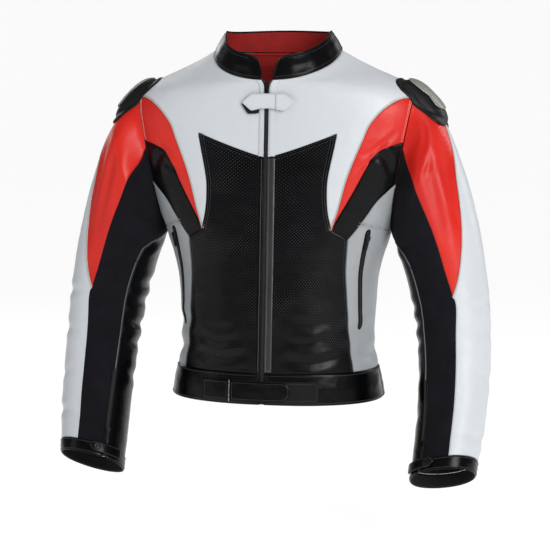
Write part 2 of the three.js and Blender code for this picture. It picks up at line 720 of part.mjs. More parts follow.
// A narrow strip of coil zip laid along a line of a surface.
function coil(surface, path, width, { outer = 1.9, inner = 0.7, longest = 60 } = {}) {
  const scaled = path.map(([a, b]) => new THREE.Vector2(a * surface.scale[0], b * surface.scale[1]));
  const side = (sign) => scaled.map((p, i) => {
    const before = scaled[Math.max(i - 1, 0)];
    const after = scaled[Math.min(i + 1, scaled.length - 1)];
    const way = after.clone().sub(before).normalize();
    const q = new THREE.Vector2(-way.y, way.x).multiplyScalar(sign * width / 2).add(p);
    return [q.x / surface.scale[0], q.y / surface.scale[1]];
  });
  return panel(surface, outline(side(1), reversed(side(-1))), { outer, inner, longest, gap: 0 });
}

const POCKET_ZIP = { top: [56, 300], bottom: [65, 146], width: 10 };
const FOREARM_ZIP = { top: [45.5, 0.7], bottom: [ZIP_ANGLE, 0.995], width: 6.5 };

// Puts a small piece drawn flat onto a surface, its +Y up the zip and its +Z outwards.
function onSurface(geometry, surface, [a, b], [upA, upB], distance) {
  const foot = offsetPoint(surface, surface.step, a, b, 0);
  const out = offsetPoint(surface, surface.step, a, b, 1).sub(foot).normalize();
  const up = offsetPoint(surface, surface.step, upA, upB, 0).sub(foot).normalize();
  const side = up.clone().cross(out).normalize();
  const matrix = new THREE.Matrix4().makeBasis(side, out.clone().cross(side), out);
  matrix.setPosition(foot.addScaledVector(out, distance));
  return geometry.clone().applyMatrix4(matrix);
}

// Slider and pull of a small zip, the pull lying flat below it.
function smallSlider(pullLength) {
  const body = plate(roundedShape(8, 9, 2.5), 2.2);
  const pull = plate(roundedShape(5, pullLength, 2), 1.4);
  pull.translate(0, -pullLength / 2 - 1, 1.5);
  return toGeometry(toSolid(body).add(toSolid(pull)));
}

// ---------- shoulder armour ----------
const CUP = { centre: [235, 19, 502], half: [59, 45, 41], turn: 46 };
const SLIDER_SHELL = { centre: [239, 19, 501], half: [47, 32, 43.5], turn: 49 };
const DOME_BLUNTNESS = [0.71, 0.56, 0.91];    // for each axis, 1 is round and less is squarer

// A rounded dome, squarer seen from above; its first axis runs down the shoulder, its third away from it.
function dome({ centre, half, turn }) {
  const ball = new THREE.SphereGeometry(1, 20, 14);
  const bare = toSolid(ball);
  const geometry = toGeometry(bare);
  const position = geometry.attributes.position;
  for (let i = 0; i < position.count; i += 1) {
    for (let axis = 0; axis < 3; axis += 1) {
      const v = position.getComponent(i, axis);
      position.setComponent(i, axis, Math.sign(v) * Math.abs(v) ** DOME_BLUNTNESS[axis] * half[axis]);
    }
  }
  geometry.rotateY(rad(turn));
  geometry.translate(...centre);
  return toSolid(geometry);
}

// Everything inside a surface, for cutting the armour to fit over it.
function filled(surface, places, angles, distance) {
  const points = [];
  for (const place of places) {
    for (const angle of angles) points.push(offsetPoint(surface, surface.step, angle, place, distance));
  }
  const n = angles.length;
  const triangles = [];
  for (let i = 0; i < places.length - 1; i += 1) {
    for (let j = 0; j < n; j += 1) {
      const [a, b, c, d] = [i * n + j, i * n + (j + 1) % n, (i + 1) * n + j, (i + 1) * n + (j + 1) % n];
      triangles.push([a, b, d], [a, d, c]);
    }
  }
  const ends = [[0, false], [(places.length - 1) * n, true]];
  for (const [start, flip] of ends) {
    const middle = new THREE.Vector3();
    for (let j = 0; j < n; j += 1) middle.addScaledVector(points[start + j], 1 / n);
    points.push(middle);
    for (let j = 0; j < n; j += 1) {
      const [a, b] = [start + j, start + (j + 1) % n];
      triangles.push(flip ? [points.length - 1, a, b] : [points.length - 1, b, a]);
    }
  }
  const solid = toSolid(solidFrom(points, triangles));
  return solid.volume() > 0 ? solid : toSolid(solidFrom(points, triangles.map(([a, b, c]) => [a, c, b])));
}

const ARMOUR_CLEARANCE = 1.5;

// Evenly spaced numbers between two ends.
function steps(from, to, count) {
  return Array.from({ length: count }, (_, i) => from + (to - from) * i / (count - 1));
}

const bodyUnderArmour = filled(TORSO, steps(440, 606, 20), steps(0, 355, 72), ARMOUR_CLEARANCE)
  .add(filled(SLEEVE, steps(0, 0.3, 14), steps(0, 350, 36), ARMOUR_CLEARANCE));
const cup = dome(CUP);
const cupOuter = dome({ ...CUP, half: CUP.half.map((v) => v + 0.4) });

const armourBase = () => toGeometry(cup.subtract(bodyUnderArmour));
const armourShell = () => toGeometry(dome(SLIDER_SHELL).subtract(cupOuter).subtract(bodyUnderArmour));

// ---------- neck closing tab and waist strap ----------
const NECK_TAB = { left: -42, right: 51, low: 505, high: 534, fold: 16 };
const WAIST_STRAP = { low: 21, high: 54, base: -103, keeper: -53, end: 48, pad: 94 };

// A flat leather shape on the centre front, drawn by its corners in x and height.
function frontFlap(corners, back, front) {
  const shape = new THREE.Shape();
  corners.forEach(([x, z], i) => (i === 0 ? shape.moveTo(x, alongFront(z)) : shape.lineTo(x, alongFront(z))));
  const flap = new THREE.ExtrudeGeometry(shape, { depth: front - back, bevelEnabled: false });
  flap.rotateX(Math.PI / 2);
  flap.translate(0, -back, 0);
  return flap;
}

// The free half of the six-sided neck tab lies over the zip, the other half is sewn down.
function neckTab() {
  const { left, low, high, fold } = NECK_TAB;
  return frontFlap([
    [left, (low + high) / 2], [left + 17, low], [-9, low + 4], [9, low + 4],
    [fold - 0.6, low + 2], [fold - 0.6, high], [left + 17, high],
  ], 5.4, 8);
}

function neckTabBase() {
  const { right, low, high, fold } = NECK_TAB;
  return frontFlap([
    [fold + 0.6, low + 2], [right - 18, low], [right, (low + high) / 2], [right - 18, high],
    [fold + 0.6, high],
  ], 2, 8);
}

// The stand-up collar's outside or lining, its front ends rounded, starting this far from the zip.
function collarBand(inner, outer, fromX) {
  const height = COLLAR_HEIGHT;
  const start = angleAt(fromX, NECK_SEAM);
  return panel(COLLAR, outline(
    [[start, 0]],
    seam([[start + 3, height * 0.45], [start + 9, height * 0.85], [start + 18, height]], 5),
    line([start + 18, height], [342 - start, height], 14),
    seam([[342 - start, height], [351 - start, height * 0.85], [357 - start, height * 0.45]], 5),
    [[360 - start, 0]],
    line([360 - start, 0], [start, 0], 16),
  ), { outer, inner, gap: 0, longest: 45 });
}

// ---------- torso ----------
addPair('chest_white', chestWhite(), WHITE);
addPair('front_perforated', frontPerforated(), PERFORATED);
addPair('shoulder_red', shoulderRed(), RED);
addPair('underarm_perforated', underarmPerforated(), PERFORATED);
addPair('side_grey', sideGrey(), GREY);
add('back_yoke', backYoke(), WHITE);
add('back_black', backBlack(), PERFORATED);
add('back_stretch', backKidney(), STRETCH);
add('torso_lining', torsoLining(), LINING);
add('back_protector', backProtector(), FOAM);
addPair('waistband_front', waistbandFront(), BLACK);
add('waistband_back', waistbandBack(), BLACK);

add('collar', collarBand(0, 3, 3.5), BLACK);
add('collar_lining', collarBand(-1.8, -0.8, 5), LINING);
add('trouser_zip', trouserZip(), BLACK);

// ---------- centre front ----------
for (const [side, far] of [['left', 16], ['right', 12.5]]) {
  const sign = side === 'left' ? 1 : -1;
  const place = (near, end) => (sign > 0 ? [near, end] : [-end, -near]);
  addFront(`placket_${side}`, frontBar(...place(3.6, far), WAIST_SEAM + 3, ZIP_TOP + 3, 0.5, 1.6), WHITE);
}
addFront('front_zip', frontBar(-3, 3, HEM + 3, ZIP_TOP, -1.6, 1.2), METAL);
const slider = addFront('front_slider', zipSlider(), METAL);
slider.rotation.x = Math.PI / 2;
slider.position.set(0, -SLIDER.bottom, alongFront(SLIDER_REST));
const pull = addFront('front_pull', zipPull(PULL.length), METAL);
pull.rotation.x = Math.PI / 2;
pull.position.set(0, -2.1, alongFront(SLIDER_REST + (SLIDER.length + PULL.length) / 2 + 0.6));
addFront('neck_tab', neckTab(), WHITE);
addFront('neck_tab_base', neckTabBase(), WHITE);
addFront('neck_tab_loop', frontBar(-39, -14, NECK_TAB.low - 4, NECK_TAB.low + 12, 2, 5), BLACK);

// ---------- waist strap ----------
const { low, high, base, keeper, end, pad } = WAIST_STRAP;
add('strap_base', waistPatch(base, keeper - 4, low - 1, high + 1, { outer: 6.5, inner: 2.8 }), BLACK);
add('strap_loop', waistPatch(keeper + 2, pad, low - 1, high + 1, { outer: 3.6, inner: 2.4 }, true), BLACK);
add('waist_strap', waistPatch(keeper, end, low, high, { outer: 6.6, inner: 4.2 }, true), BLACK);

// ---------- pockets ----------
addPair('pocket_zip', coil(TORSO, line(POCKET_ZIP.top, POCKET_ZIP.bottom, 6), POCKET_ZIP.width), BLACK);
addPair('pocket_slider', onSurface(smallSlider(20), TORSO, [56.4, 294], [56, 304], 3.7), METAL);

// ---------- sleeves ----------
addPair('sleeve_red', sleeveRed(), RED);
addPair('sleeve_white_upper', sleeveWhiteUpper(), WHITE);
addPair('sleeve_stretch_upper', sleeveStretchUpper(), STRETCH);
addPair('sleeve_white_lower', sleeveWhiteLower(), WHITE);
addPair('sleeve_stretch_lower', sleeveStretchLower(), STRETCH);
addPair('sleeve_under_lower', sleeveUnderLower(), BLACK);
addPair('armour_base', armourBase(), MOULDED);
addPair('armour_shell', armourShell(), SHELL_GREY);
addPair('cuff_band', cuffBand(), BLACK);
addPair('cuff_tab', cuffTab(), BLACK);
addPair('forearm_zip', coil(SLEEVE, line(FOREARM_ZIP.top, FOREARM_ZIP.bottom, 6), FOREARM_ZIP.width), BLACK);
addPair('forearm_slider', onSurface(smallSlider(24), SLEEVE, [50, 0.905], [49.6, 0.88], 2.8), METAL);

export default jacket;
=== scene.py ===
"""Leather riding jacket: the looks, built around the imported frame.

Working units are millimetres, with heights from the front hem, +X to the wearer's left and the front at -Y.
row() turns a working point into the frame's metres, whose origin is the middle of the neck opening.
"""
import math
from functools import partial

import bpy
import numpy as np
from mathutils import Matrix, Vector, noise
from mathutils.bvhtree import BVHTree
from mathutils.geometry import delaunay_2d_cdt


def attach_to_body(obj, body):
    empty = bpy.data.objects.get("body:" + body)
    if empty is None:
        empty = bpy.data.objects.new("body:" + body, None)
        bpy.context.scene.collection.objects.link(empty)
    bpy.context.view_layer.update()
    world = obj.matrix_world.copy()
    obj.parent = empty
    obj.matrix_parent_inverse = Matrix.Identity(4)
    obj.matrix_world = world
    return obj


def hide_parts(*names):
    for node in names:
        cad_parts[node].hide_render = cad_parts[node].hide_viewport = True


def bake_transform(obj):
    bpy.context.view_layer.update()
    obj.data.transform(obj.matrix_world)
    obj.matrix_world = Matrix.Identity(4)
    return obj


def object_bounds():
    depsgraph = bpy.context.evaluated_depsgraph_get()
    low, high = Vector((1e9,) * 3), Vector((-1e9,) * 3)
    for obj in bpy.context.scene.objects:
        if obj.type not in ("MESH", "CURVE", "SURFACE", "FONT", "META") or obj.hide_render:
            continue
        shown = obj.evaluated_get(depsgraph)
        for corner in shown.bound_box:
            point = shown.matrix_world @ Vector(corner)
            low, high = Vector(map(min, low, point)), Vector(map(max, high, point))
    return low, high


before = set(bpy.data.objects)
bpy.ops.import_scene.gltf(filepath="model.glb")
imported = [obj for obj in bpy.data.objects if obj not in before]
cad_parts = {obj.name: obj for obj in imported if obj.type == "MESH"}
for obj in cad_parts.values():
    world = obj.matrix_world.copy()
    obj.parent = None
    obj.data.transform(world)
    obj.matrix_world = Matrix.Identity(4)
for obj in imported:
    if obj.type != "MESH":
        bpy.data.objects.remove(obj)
cad_box = [list(corner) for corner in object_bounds()]

# ---------- driving dimensions, as in the CAD ----------
NECK_CENTRE = np.array([0.0, 14.0, 580.0])
HEM = 15
WAIST_SEAM = 68
NECK_SEAM = 607
FRONT_Y = -118
FRONT_SLOPE = 0.08
MID_Y = 14
ZIP_GAP = 3.6
ZIP_TOP = 548
PART_FROM, PART_WIDTH = 556, 6.5     # above this height the zip's sides part, by this much each at the neck
COLLAR_HEIGHT = 37
COLLAR_SIDE_DROP = 0.2       # the collar is this much lower at the sides of the neck
CUFF_SEAM = 0.957
ELBOW = 0.5
SLEEVE_LENGTH = 640
SEAM_GAP = 0.3
SHELL = 2.2
SLEEVE_CUT = 0.3             # the sleeve pieces are cut here: the part above is given the shoulder bend's name, the part below the elbow's

# height, half width, back depth, front tilt, back tilt, squareness
TORSO_RINGS = [
    [0, 188, 118, 0, 0, 2.3],
    [50, 178, 112, 0, 0, 2.3],
    [110, 167, 104, 0, 0, 2.3],
    [180, 170, 108, 0, 0, 2.3],
    [240, 177, 114, 0, 0, 2.3],
    [300, 196, 120, 0, 0, 2.35],
    [380, 228, 124, 0, 0, 2.35],
    [470, 254, 118, 0, 0, 2.35],
    [520, 252, 110, 0.04, 0, 2.3],
    [548, 228, 102, 0.12, 0, 2.25],
    [574, 174, 94, 0.28, -0.05, 2.2],
    [592, 136, 86, 0.44, -0.08, 2.1],
    [608, 108, 78, 0.58, -0.1, 2.05],
]
HOLE_LOW_X, HOLE_LOW_Z, HOLE_TOP_X, HOLE_TOP_Z = 197.3, 303.7, 240.4, 537.4
# place along the sleeve, inner x and z, outer x and z, middle y, half depth, forward lean in degrees
SLEEVE_RINGS = [
    [0, HOLE_LOW_X, HOLE_LOW_Z, HOLE_TOP_X, HOLE_TOP_Z, 8, 78, 0],
    [0.1, 205, 282, 280, 498, 8, 80, 0],
    [0.22, 217, 250, 313, 425, 8, 76, 0],
    [0.36, 231, 205, 346, 315, 5, 70, 3],
    [0.5, 244, 145, 366, 195, -4, 64, 9],
    [0.62, 251, 85, 371, 115, -16, 61, 14],
    [0.8, 254, -10, 370, 12, -50, 57, 22],
    [1, 250, -108, 358, -90, -100, 53, 29],
]
ARMHOLE_BLEND = 0.14


def row(points):
    """Working millimetres to the frame's metres."""
    return (np.asarray(points, float) - NECK_CENTRE) / 1000


def unit(vectors):
    return vectors / np.linalg.norm(vectors, axis=1)[:, None]


def heading(points):
    """Unit vectors along a line of points."""
    return unit(np.gradient(points, axis=0))


def ease(t):
    """A soft step from 0 to 1."""
    return t * t * (3 - 2 * t)


# ---------- surfaces ----------
def lookup(rows):
    """A smooth table: the first number of each row is where it holds."""
    table = np.array(rows, float)
    at, values = table[:, 0], table[:, 1:]
    gap = np.diff(at)[:, None]
    slope = np.diff(values, axis=0) / gap
    inside = (slope[:-1] * gap[1:] + slope[1:] * gap[:-1]) / (gap[1:] + gap[:-1])
    tangent = np.vstack([slope[:1], inside, slope[-1:]])

    def read(t):
        t = np.clip(np.atleast_1d(np.asarray(t, float)), at[0], at[-1])
        i = np.clip(np.searchsorted(at, t, side="right") - 1, 0, len(at) - 2)
        h = gap[i]
        s = (t[:, None] - at[i][:, None]) / h
        s2, s3 = s * s, s * s * s
        return ((2 * s3 - 3 * s2 + 1) * values[i] + (s3 - 2 * s2 + s) * h * tangent[i]
                + (3 * s2 - 2 * s3) * values[i + 1] + (s3 - s2) * h * tangent[i + 1]).T

    return read


torso_ring = lookup(TORSO_RINGS)
sleeve_ring = lookup(SLEEVE_RINGS)


def torso(angle, height):
    """Point of the torso: angle from the centre front towards +X, and nominal height."""
    width, back, front_tilt, back_tilt, power = torso_ring(height)
    turn = np.radians(angle)
    sin, cos = np.sin(turn), np.cos(turn)
    front_height = (height + front_tilt * (FRONT_Y - MID_Y)) / (1 - front_tilt * FRONT_SLOPE)
    front_depth = MID_Y - (FRONT_Y + FRONT_SLOPE * front_height)
    depth = np.where(cos > 0, front_depth, back - MID_Y)
    x = width * np.sign(sin) * np.abs(sin) ** (2 / power)
    y = MID_Y - depth * np.sign(cos) * np.abs(cos) ** (2 / power)
    tilt = np.where(cos > 0, front_tilt, back_tilt)
    return np.stack([x, y, height + tilt * (y - MID_Y)], 1)


def angle_at(x, height):
    """The angle at which the torso's ring at this height is x wide."""
    width, _, _, _, power = torso_ring(height)
    ratio = np.clip(np.abs(x) / width, 0, 1)
    return np.sign(x) * np.degrees(np.arcsin(ratio ** (power / 2)))


def armhole_x(height):
    share = (np.asarray(height, float) - HOLE_LOW_Z) / (HOLE_TOP_Z - HOLE_LOW_Z)
    return HOLE_LOW_X + (HOLE_TOP_X - HOLE_LOW_X) * share


def armhole_angle(height):
    return angle_at(armhole_x(height), height)


def sleeve(angle, place):
    """Point of the left sleeve: angle from the inner side over the front, and place along it."""
    inner_x, inner_z, outer_x, outer_z, mid_y, radius, lean = sleeve_ring(place)
    turn, lean = np.radians(angle), np.radians(lean)
    sin, share = np.sin(turn), (1 - np.cos(turn)) / 2
    depth = radius * np.sign(-sin) * np.abs(sin) ** 0.9
    x = inner_x + (outer_x - inner_x) * share
    z = inner_z + (outer_z - inner_z) * share
    tube = np.stack([x, mid_y + depth * np.cos(lean), z - depth * np.sin(lean)], 1)
    ring_height = HOLE_LOW_Z + (HOLE_TOP_Z - HOLE_LOW_Z) * share
    ring_angle = armhole_angle(ring_height)
    ring = torso(np.where(sin < 0, 180 - ring_angle, ring_angle), ring_height)
    ring[:, 0] += x - (HOLE_LOW_X + (HOLE_TOP_X - HOLE_LOW_X) * share)
    ring[:, 2] += z - ring_height
    t = np.clip(np.asarray(place, float) / ARMHOLE_BLEND, 0, 1)[:, None]
    return ring + (tube - ring) * ease(t)


def collar(angle, height):
    """Point of the stand-up collar: torso angle, and height above the neck seam; it narrows upwards."""
    base = torso(angle, np.full(len(height), NECK_SEAM + 0.5))
    share = height / COLLAR_HEIGHT
    base[:, 0] *= 1 - 0.17 * share
    base[:, 1] = MID_Y + (base[:, 1] - MID_Y) * (1 - 0.12 * share)
    base[:, 2] += height * (1 - COLLAR_SIDE_DROP * np.sin(np.radians(angle)) ** 2) + 1
    return base


def front_plane(x, height):
    """Point of the flat front that the neck tab lies along."""
    return np.stack([x, FRONT_Y + FRONT_SLOPE * height, height], 1)


class Surface:
    """A surface with two coordinates; scale turns them into millimetres of flat leather."""

    def __init__(self, at, scale, step, limits, outward=1.0):
        self.at = at
        self.scale = np.array(scale, float)
        self.step = step
        self.limits = limits
        self.outward = outward

    def frame(self, ab):
        """Points and outward normals."""
        a, b = np.asarray(ab, float).T
        low = np.maximum(b - self.step[1], self.limits[0])
        high = np.minimum(b + self.step[1], self.limits[1])
        across = self.at(a + self.step[0], b) - self.at(a - self.step[0], b)
        along = self.at(a, high) - self.at(a, low)
        return self.at(a, b), unit(np.cross(across, along) * self.outward)


TORSO = Surface(torso, [3.4, 1], [0.6, 1.5], [0, 608])
SLEEVE = Surface(sleeve, [1.2, SLEEVE_LENGTH], [1, 0.004], [0, 1], -1.0)
COLLAR = Surface(collar, [1.6, 1], [1, 1], [0, COLLAR_HEIGHT])
FRONT = Surface(front_plane, [1, 1], [0.5, 0.5], [0, 700])


# ---------- seam lines ----------
def seam(points, pieces=12):
    """A smooth line through a few points (centripetal Catmull-Rom)."""
    p = np.array(points, float)
    p = np.vstack([2 * p[0] - p[1], p, 2 * p[-1] - p[-2]])
    line_points = [p[1]]
    for i in range(1, len(p) - 2):
        step = [max(np.linalg.norm(p[k + 1] - p[k]) ** 0.5, 1e-4) for k in (i - 1, i, i + 1)]
        start = (p[i] - p[i - 1]) / step[0] - (p[i + 1] - p[i - 1]) / (step[0] + step[1])
        start = (start + (p[i + 1] - p[i]) / step[1]) * step[1]
        end = (p[i + 1] - p[i]) / step[1] - (p[i + 2] - p[i]) / (step[1] + step[2])
        end = (end + (p[i + 2] - p[i + 1]) / step[2]) * step[1]
        for t in np.linspace(0, 1, pieces + 1)[1:]:
            point = (2 * t**3 - 3 * t**2 + 1) * p[i] + (t**3 - 2 * t**2 + t) * start
            line_points.append(point + (3 * t**2 - 2 * t**3) * p[i + 1] + (t**3 - t**2) * end)
    return np.array(line_points)


def line(start, end, pieces=1):
    return np.linspace(np.array(start, float), np.array(end, float), pieces + 1)


def outline(*runs):
    """Joins runs of points end to end and drops repeated corners."""
    joined = np.vstack([np.atleast_2d(r) for r in runs])
    keep = np.abs(joined - np.roll(joined, -1, 0)).max(1) > 1e-6
    return joined[keep]


def ring(corners, pieces):
    """A closed outline with straight sides, each divided into its own number of pieces."""
    return outline(*(line(p, q, n) for p, q, n in zip(corners, corners[1:] + corners[:1], pieces)))


def closed(points):
    return np.vstack([points, points[:1]])


def other_side(points):
    """The same line on the other side of the centre back."""
    return np.stack([360 - points[:, 0], points[:, 1]], 1)


def armhole_front(low, high, pieces=24):
    """The front half of the armhole between two heights, evenly round its ring."""
    turn = np.arccos(1 - 2 * (np.array([low, high]) - HOLE_LOW_Z) / (HOLE_TOP_Z - HOLE_LOW_Z))
    turns = np.linspace(turn[0], turn[1], pieces + 1)
    z = HOLE_LOW_Z + (HOLE_TOP_Z - HOLE_LOW_Z) * (1 - np.cos(turns)) / 2
    return np.stack([armhole_angle(z), z], 1)


def armhole_back(low, high, pieces=24):
    return armhole_front(low, high, pieces) * [-1, 1] + [180, 0]


def at_x(x, height):
    """Torso coordinates of points x from the centre front."""
    return np.stack([angle_at(np.asarray(x, float), np.asarray(height, float)), height], 1)


def zip_corner(height):
    """Torso coordinates of one point of the leather's edge beside the closed zip."""
    return at_x([ZIP_GAP], np.array([float(height)]))[0]


def zip_edge(low, high, away=0.0, pieces=40):
    """The leather's edge beside the zip; above the slider the two sides part."""
    z = np.linspace(low, high, pieces + 1)
    parted = np.clip((z - PART_FROM) / (NECK_SEAM - PART_FROM), 0, 1) ** 1.3
    return at_x(ZIP_GAP + away + PART_WIDTH * parted, z)


# ---------- torso seams, on the wearer's left ----------
RED_TOP, RED_BOTTOM, GREY_TOP = 531, 453, 384
FRONT_TOP = 428
TOP_CORNER, PANEL_TIP, SIDE_CORNER = [24, 468], [30, 308], [42, 292]
SIDE_FRONT, SIDE_BACK, KIDNEY_TOP = 55, 126, 150
SHOULDER_LINE = 90           # the angle at which front panels end on top of the shoulder
GREY_POINT = [armhole_angle([GREY_TOP])[0], GREY_TOP]
front_top = np.vstack([zip_corner(FRONT_TOP), TOP_CORNER])
white_to_perforated = seam([TOP_CORNER, [23, 424], [23, 383], [25.5, 342], PANEL_TIP])
white_to_red = seam([[armhole_angle([RED_TOP])[0], RED_TOP], [60, 528], [48, 514], [40, 490], [36, 458],
                     [33, 418], [31.5, 380], [31, 340], PANEL_TIP])
red_to_underarm = seam([[armhole_angle([RED_BOTTOM])[0], RED_BOTTOM], [48, 442], [43, 428], [40.5, 406],
                        [37, 370], PANEL_TIP])
underarm_to_grey = seam([GREY_POINT, [55, 357], [50, 330], [45, 304], SIDE_CORNER])
front_to_grey = seam([SIDE_CORNER, [45, 257], [50, 190], [SIDE_FRONT, 110], [SIDE_FRONT, WAIST_SEAM]])
back_point = [180 - GREY_POINT[0], GREY_TOP]
kidney_share = (KIDNEY_TOP - WAIST_SEAM) / (GREY_TOP - WAIST_SEAM)
kidney_corner = [SIDE_BACK + kidney_share * (back_point[0] - SIDE_BACK), KIDNEY_TOP]
kidney_far_corner = [360 - kidney_corner[0], KIDNEY_TOP]
grey_to_kidney = line([SIDE_BACK, WAIST_SEAM], kidney_corner, 8)
grey_to_black = line(kidney_corner, back_point, 20)
yoke_hem = seam([back_point, [150, 372], [180, 366], [210, 372], [360 - back_point[0], GREY_TOP]])

# ---------- sleeve seams, on the wearer's left ----------
RED_TIP = [100, 0.475]
RIDGE_END = 0.11             # the red panel reaches this far down the top of the sleeve
red_inner = seam([[100, 0], [92, 0.07], [90, 0.165], [92, 0.28], [94, 0.38], RED_TIP])
red_outer = seam([RED_TIP, [112, 0.44], [122, 0.4], [135, 0.34], [150, 0.25], [166, 0.18], [180, RIDGE_END]])
back_seam = seam([[-90, 0], [-82, 0.15], [-70, 0.35], [-60, ELBOW], [-66, 0.72], [-70, CUFF_SEAM]])
forearm_front = seam([RED_TIP, [103, ELBOW], [99, 0.64], [100, 0.83], [103, CUFF_SEAM]])
leather_edge = seam([[-26, 0], [2, 0.08], [28, 0.18], [42, 0.3], [45, 0.46], [44, 0.58], [45, 0.7],
                     [48, 0.83], [52, CUFF_SEAM]])

# ---------- folds and drape ----------
# points along the fold, depth, half width; on the wearer's left (1), and on the right (-1)
TORSO_FOLDS = {
    1: [([[8, 92], [26, 86], [46, 96]], 2.0, 8), ([[46, 150], [66, 132], [92, 140]], 2.4, 12),
        ([[50, 104], [78, 92], [112, 104]], 2.6, 11), ([[44, 440], [52, 424], [58, 400]], 2.6, 8),
        ([[37, 428], [43, 440], [50, 458]], 2.6, 5), ([[35, 404], [40, 420], [46, 428]], 1.8, 4),
        ([[40, 446], [47, 452], [56, 474]], 1.4, 5), ([[12, 160], [26, 150], [38, 160]], 1.2, 9),
        ([[10, 124], [20, 118], [34, 126]], 1.0, 6), ([[150, 210], [180, 196], [210, 210]], 2.5, 14),
        ([[130, 330], [146, 350], [160, 380]], 2.5, 14)],
    -1: [([[6, 100], [22, 92], [44, 100]], 2.4, 8), ([[10, 124], [24, 118], [40, 128]], 1.8, 9),
         ([[14, 146], [24, 138], [36, 144]], 1.2, 7), ([[46, 160], [66, 142], [92, 150]], 2.4, 12),
         ([[48, 112], [76, 98], [112, 110]], 2.6, 11), ([[44, 436], [52, 420], [58, 396]], 2.6, 8),
         ([[36, 424], [43, 436], [50, 452]], 2.4, 5), ([[38, 398], [44, 412], [50, 420]], 1.6, 5),
         ([[130, 300], [146, 330], [160, 370]], 2.5, 14)],
}
SLEEVE_FOLDS = {
    1: [([[150, 0.14], [136, 0.27], [120, 0.41]], 2.4, 13),
        ([[118, 0.08], [110, 0.22], [104, 0.38]], 2.0, 10),
        ([[140, 0.05], [128, 0.09], [110, 0.1]], 1.4, 5), ([[126, 0.12], [116, 0.15], [104, 0.14]], 1.2, 5),
        ([[30, 0.03], [50, 0.1], [72, 0.2]], 2.4, 9), ([[-10, 0.07], [24, 0.15], [60, 0.26]], 2.4, 10),
        ([[-50, 0.42], [-10, 0.43], [50, 0.455]], 1.6, 8), ([[-55, 0.5], [0, 0.505], [46, 0.5]], 2.2, 8),
        ([[-50, 0.575], [0, 0.57], [40, 0.56]], 1.8, 8), ([[200, 0.5], [150, 0.52], [112, 0.51]], 1.6, 8),
        ([[210, 0.6], [160, 0.585], [110, 0.6]], 1.5, 9), ([[230, 0.72], [170, 0.71], [120, 0.7]], 1.3, 11),
        ([[220, 0.88], [170, 0.9], [112, 0.885]], 1.8, 8), ([[-60, 0.68], [-20, 0.69], [30, 0.66]], 1.6, 10),
        ([[-60, 0.8], [-20, 0.81], [30, 0.79]], 1.4, 10), ([[60, 0.88], [80, 0.9], [100, 0.895]], 1.2, 8),
        ([[80, 0.3], [76, 0.5], [80, 0.66]], 1.0, 10), ([[70, 0.7], [74, 0.8], [78, 0.9]], 0.9, 8)],
    -1: [([[152, 0.12], [138, 0.25], [124, 0.41]], 3.6, 12),
         ([[126, 0.1], [116, 0.23], [108, 0.4]], 2.8, 11),
         ([[26, 0.03], [48, 0.1], [74, 0.2]], 2.6, 9), ([[-14, 0.07], [20, 0.16], [58, 0.27]], 2.6, 10),
         ([[-55, 0.37], [-10, 0.375], [40, 0.39]], 2.4, 10),
         ([[-55, 0.45], [0, 0.445], [46, 0.455]], 2.6, 9),
         ([[-55, 0.53], [0, 0.53], [44, 0.52]], 3.2, 8), ([[-50, 0.6], [0, 0.595], [42, 0.6]], 2.4, 8),
         ([[215, 0.49], [160, 0.51], [112, 0.5]], 2.2, 8),
         ([[215, 0.62], [160, 0.61], [108, 0.625]], 1.8, 9),
         ([[225, 0.74], [170, 0.75], [112, 0.735]], 1.5, 9),
         ([[225, 0.87], [170, 0.86], [112, 0.88]], 2.2, 8),
         ([[-60, 0.7], [-20, 0.7], [30, 0.69]], 2.0, 10), ([[64, 0.86], [84, 0.875], [104, 0.87]], 1.6, 8),
         ([[78, 0.3], [72, 0.5], [78, 0.66]], 1.4, 10), ([[66, 0.7], [72, 0.8], [74, 0.88]], 1.0, 8)],
}


def distance_to_path(points, path):
    """Distance from each point to a polyline, and how far along it the nearest place is, 0 to 1."""
    start, way = path[:-1], np.diff(path, axis=0)
    length2 = (way**2).sum(1)
    t = np.clip(((points[:, None, :] - start) * way).sum(2) / length2, 0, 1)
    gap = np.linalg.norm(points[:, None, :] - start - way * t[:, :, None], axis=2)
    nearest = gap.argmin(1)
    rows = np.arange(len(points))
    return gap[rows, nearest], (nearest + t[rows, nearest]) / len(way)


def fold_paths():
    paths = {1: [], -1: []}
    for surface, folds in ((TORSO, TORSO_FOLDS), (SLEEVE, SLEEVE_FOLDS)):
        for side, listed in folds.items():
            for points, depth, width in listed:
                path = surface.frame(seam(points, 6))[0] * [side, 1, 1]
                paths[side].append((path, depth, width))
    return paths


FOLD_PATHS = fold_paths()
WRINKLES = ((0.9, 62), (0.32, 19), (0.14, 8))    # depth and size of the even unrest of worn leather


def drape(points, side):
    """How far the worn leather stands above the plain surface, in millimetres."""
    relief = np.array([sum(depth * noise.noise(Vector(p) / size) for depth, size in WRINKLES)
                       for p in points])
    for path, depth, width in FOLD_PATHS[side]:
        reach = 3.4 * width
        near = ((points > path.min(0) - reach) & (points < path.max(0) + reach)).all(1)
        if not near.any():
            continue
        gap, along = distance_to_path(points[near], path)
        t = gap / width
        shape = -np.exp(-t * t) + 0.5 * np.exp(-((t - 1.7) ** 2) * 1.2)
        relief[near] += depth * shape * np.sin(np.pi * np.clip(along, 0.0, 1.0)) ** 0.8
    return relief


def skin(surface, ab, side=1, lift=0.0, draped=True):
    """Points on the draped surface, and their normals, on the wearer's left (1) or right (-1)."""
    points, normals = surface.frame(ab)
    points = points * [side, 1, 1]
    normals = normals * [side, 1, 1]
    if draped:
        lift = lift + drape(points, side)
    return points + normals * np.reshape(lift, (-1, 1)), normals


# ---------- meshes ----------
def add_object(name, data):
    obj = bpy.data.objects.new(name, data)
    bpy.context.scene.collection.objects.link(obj)
    return obj


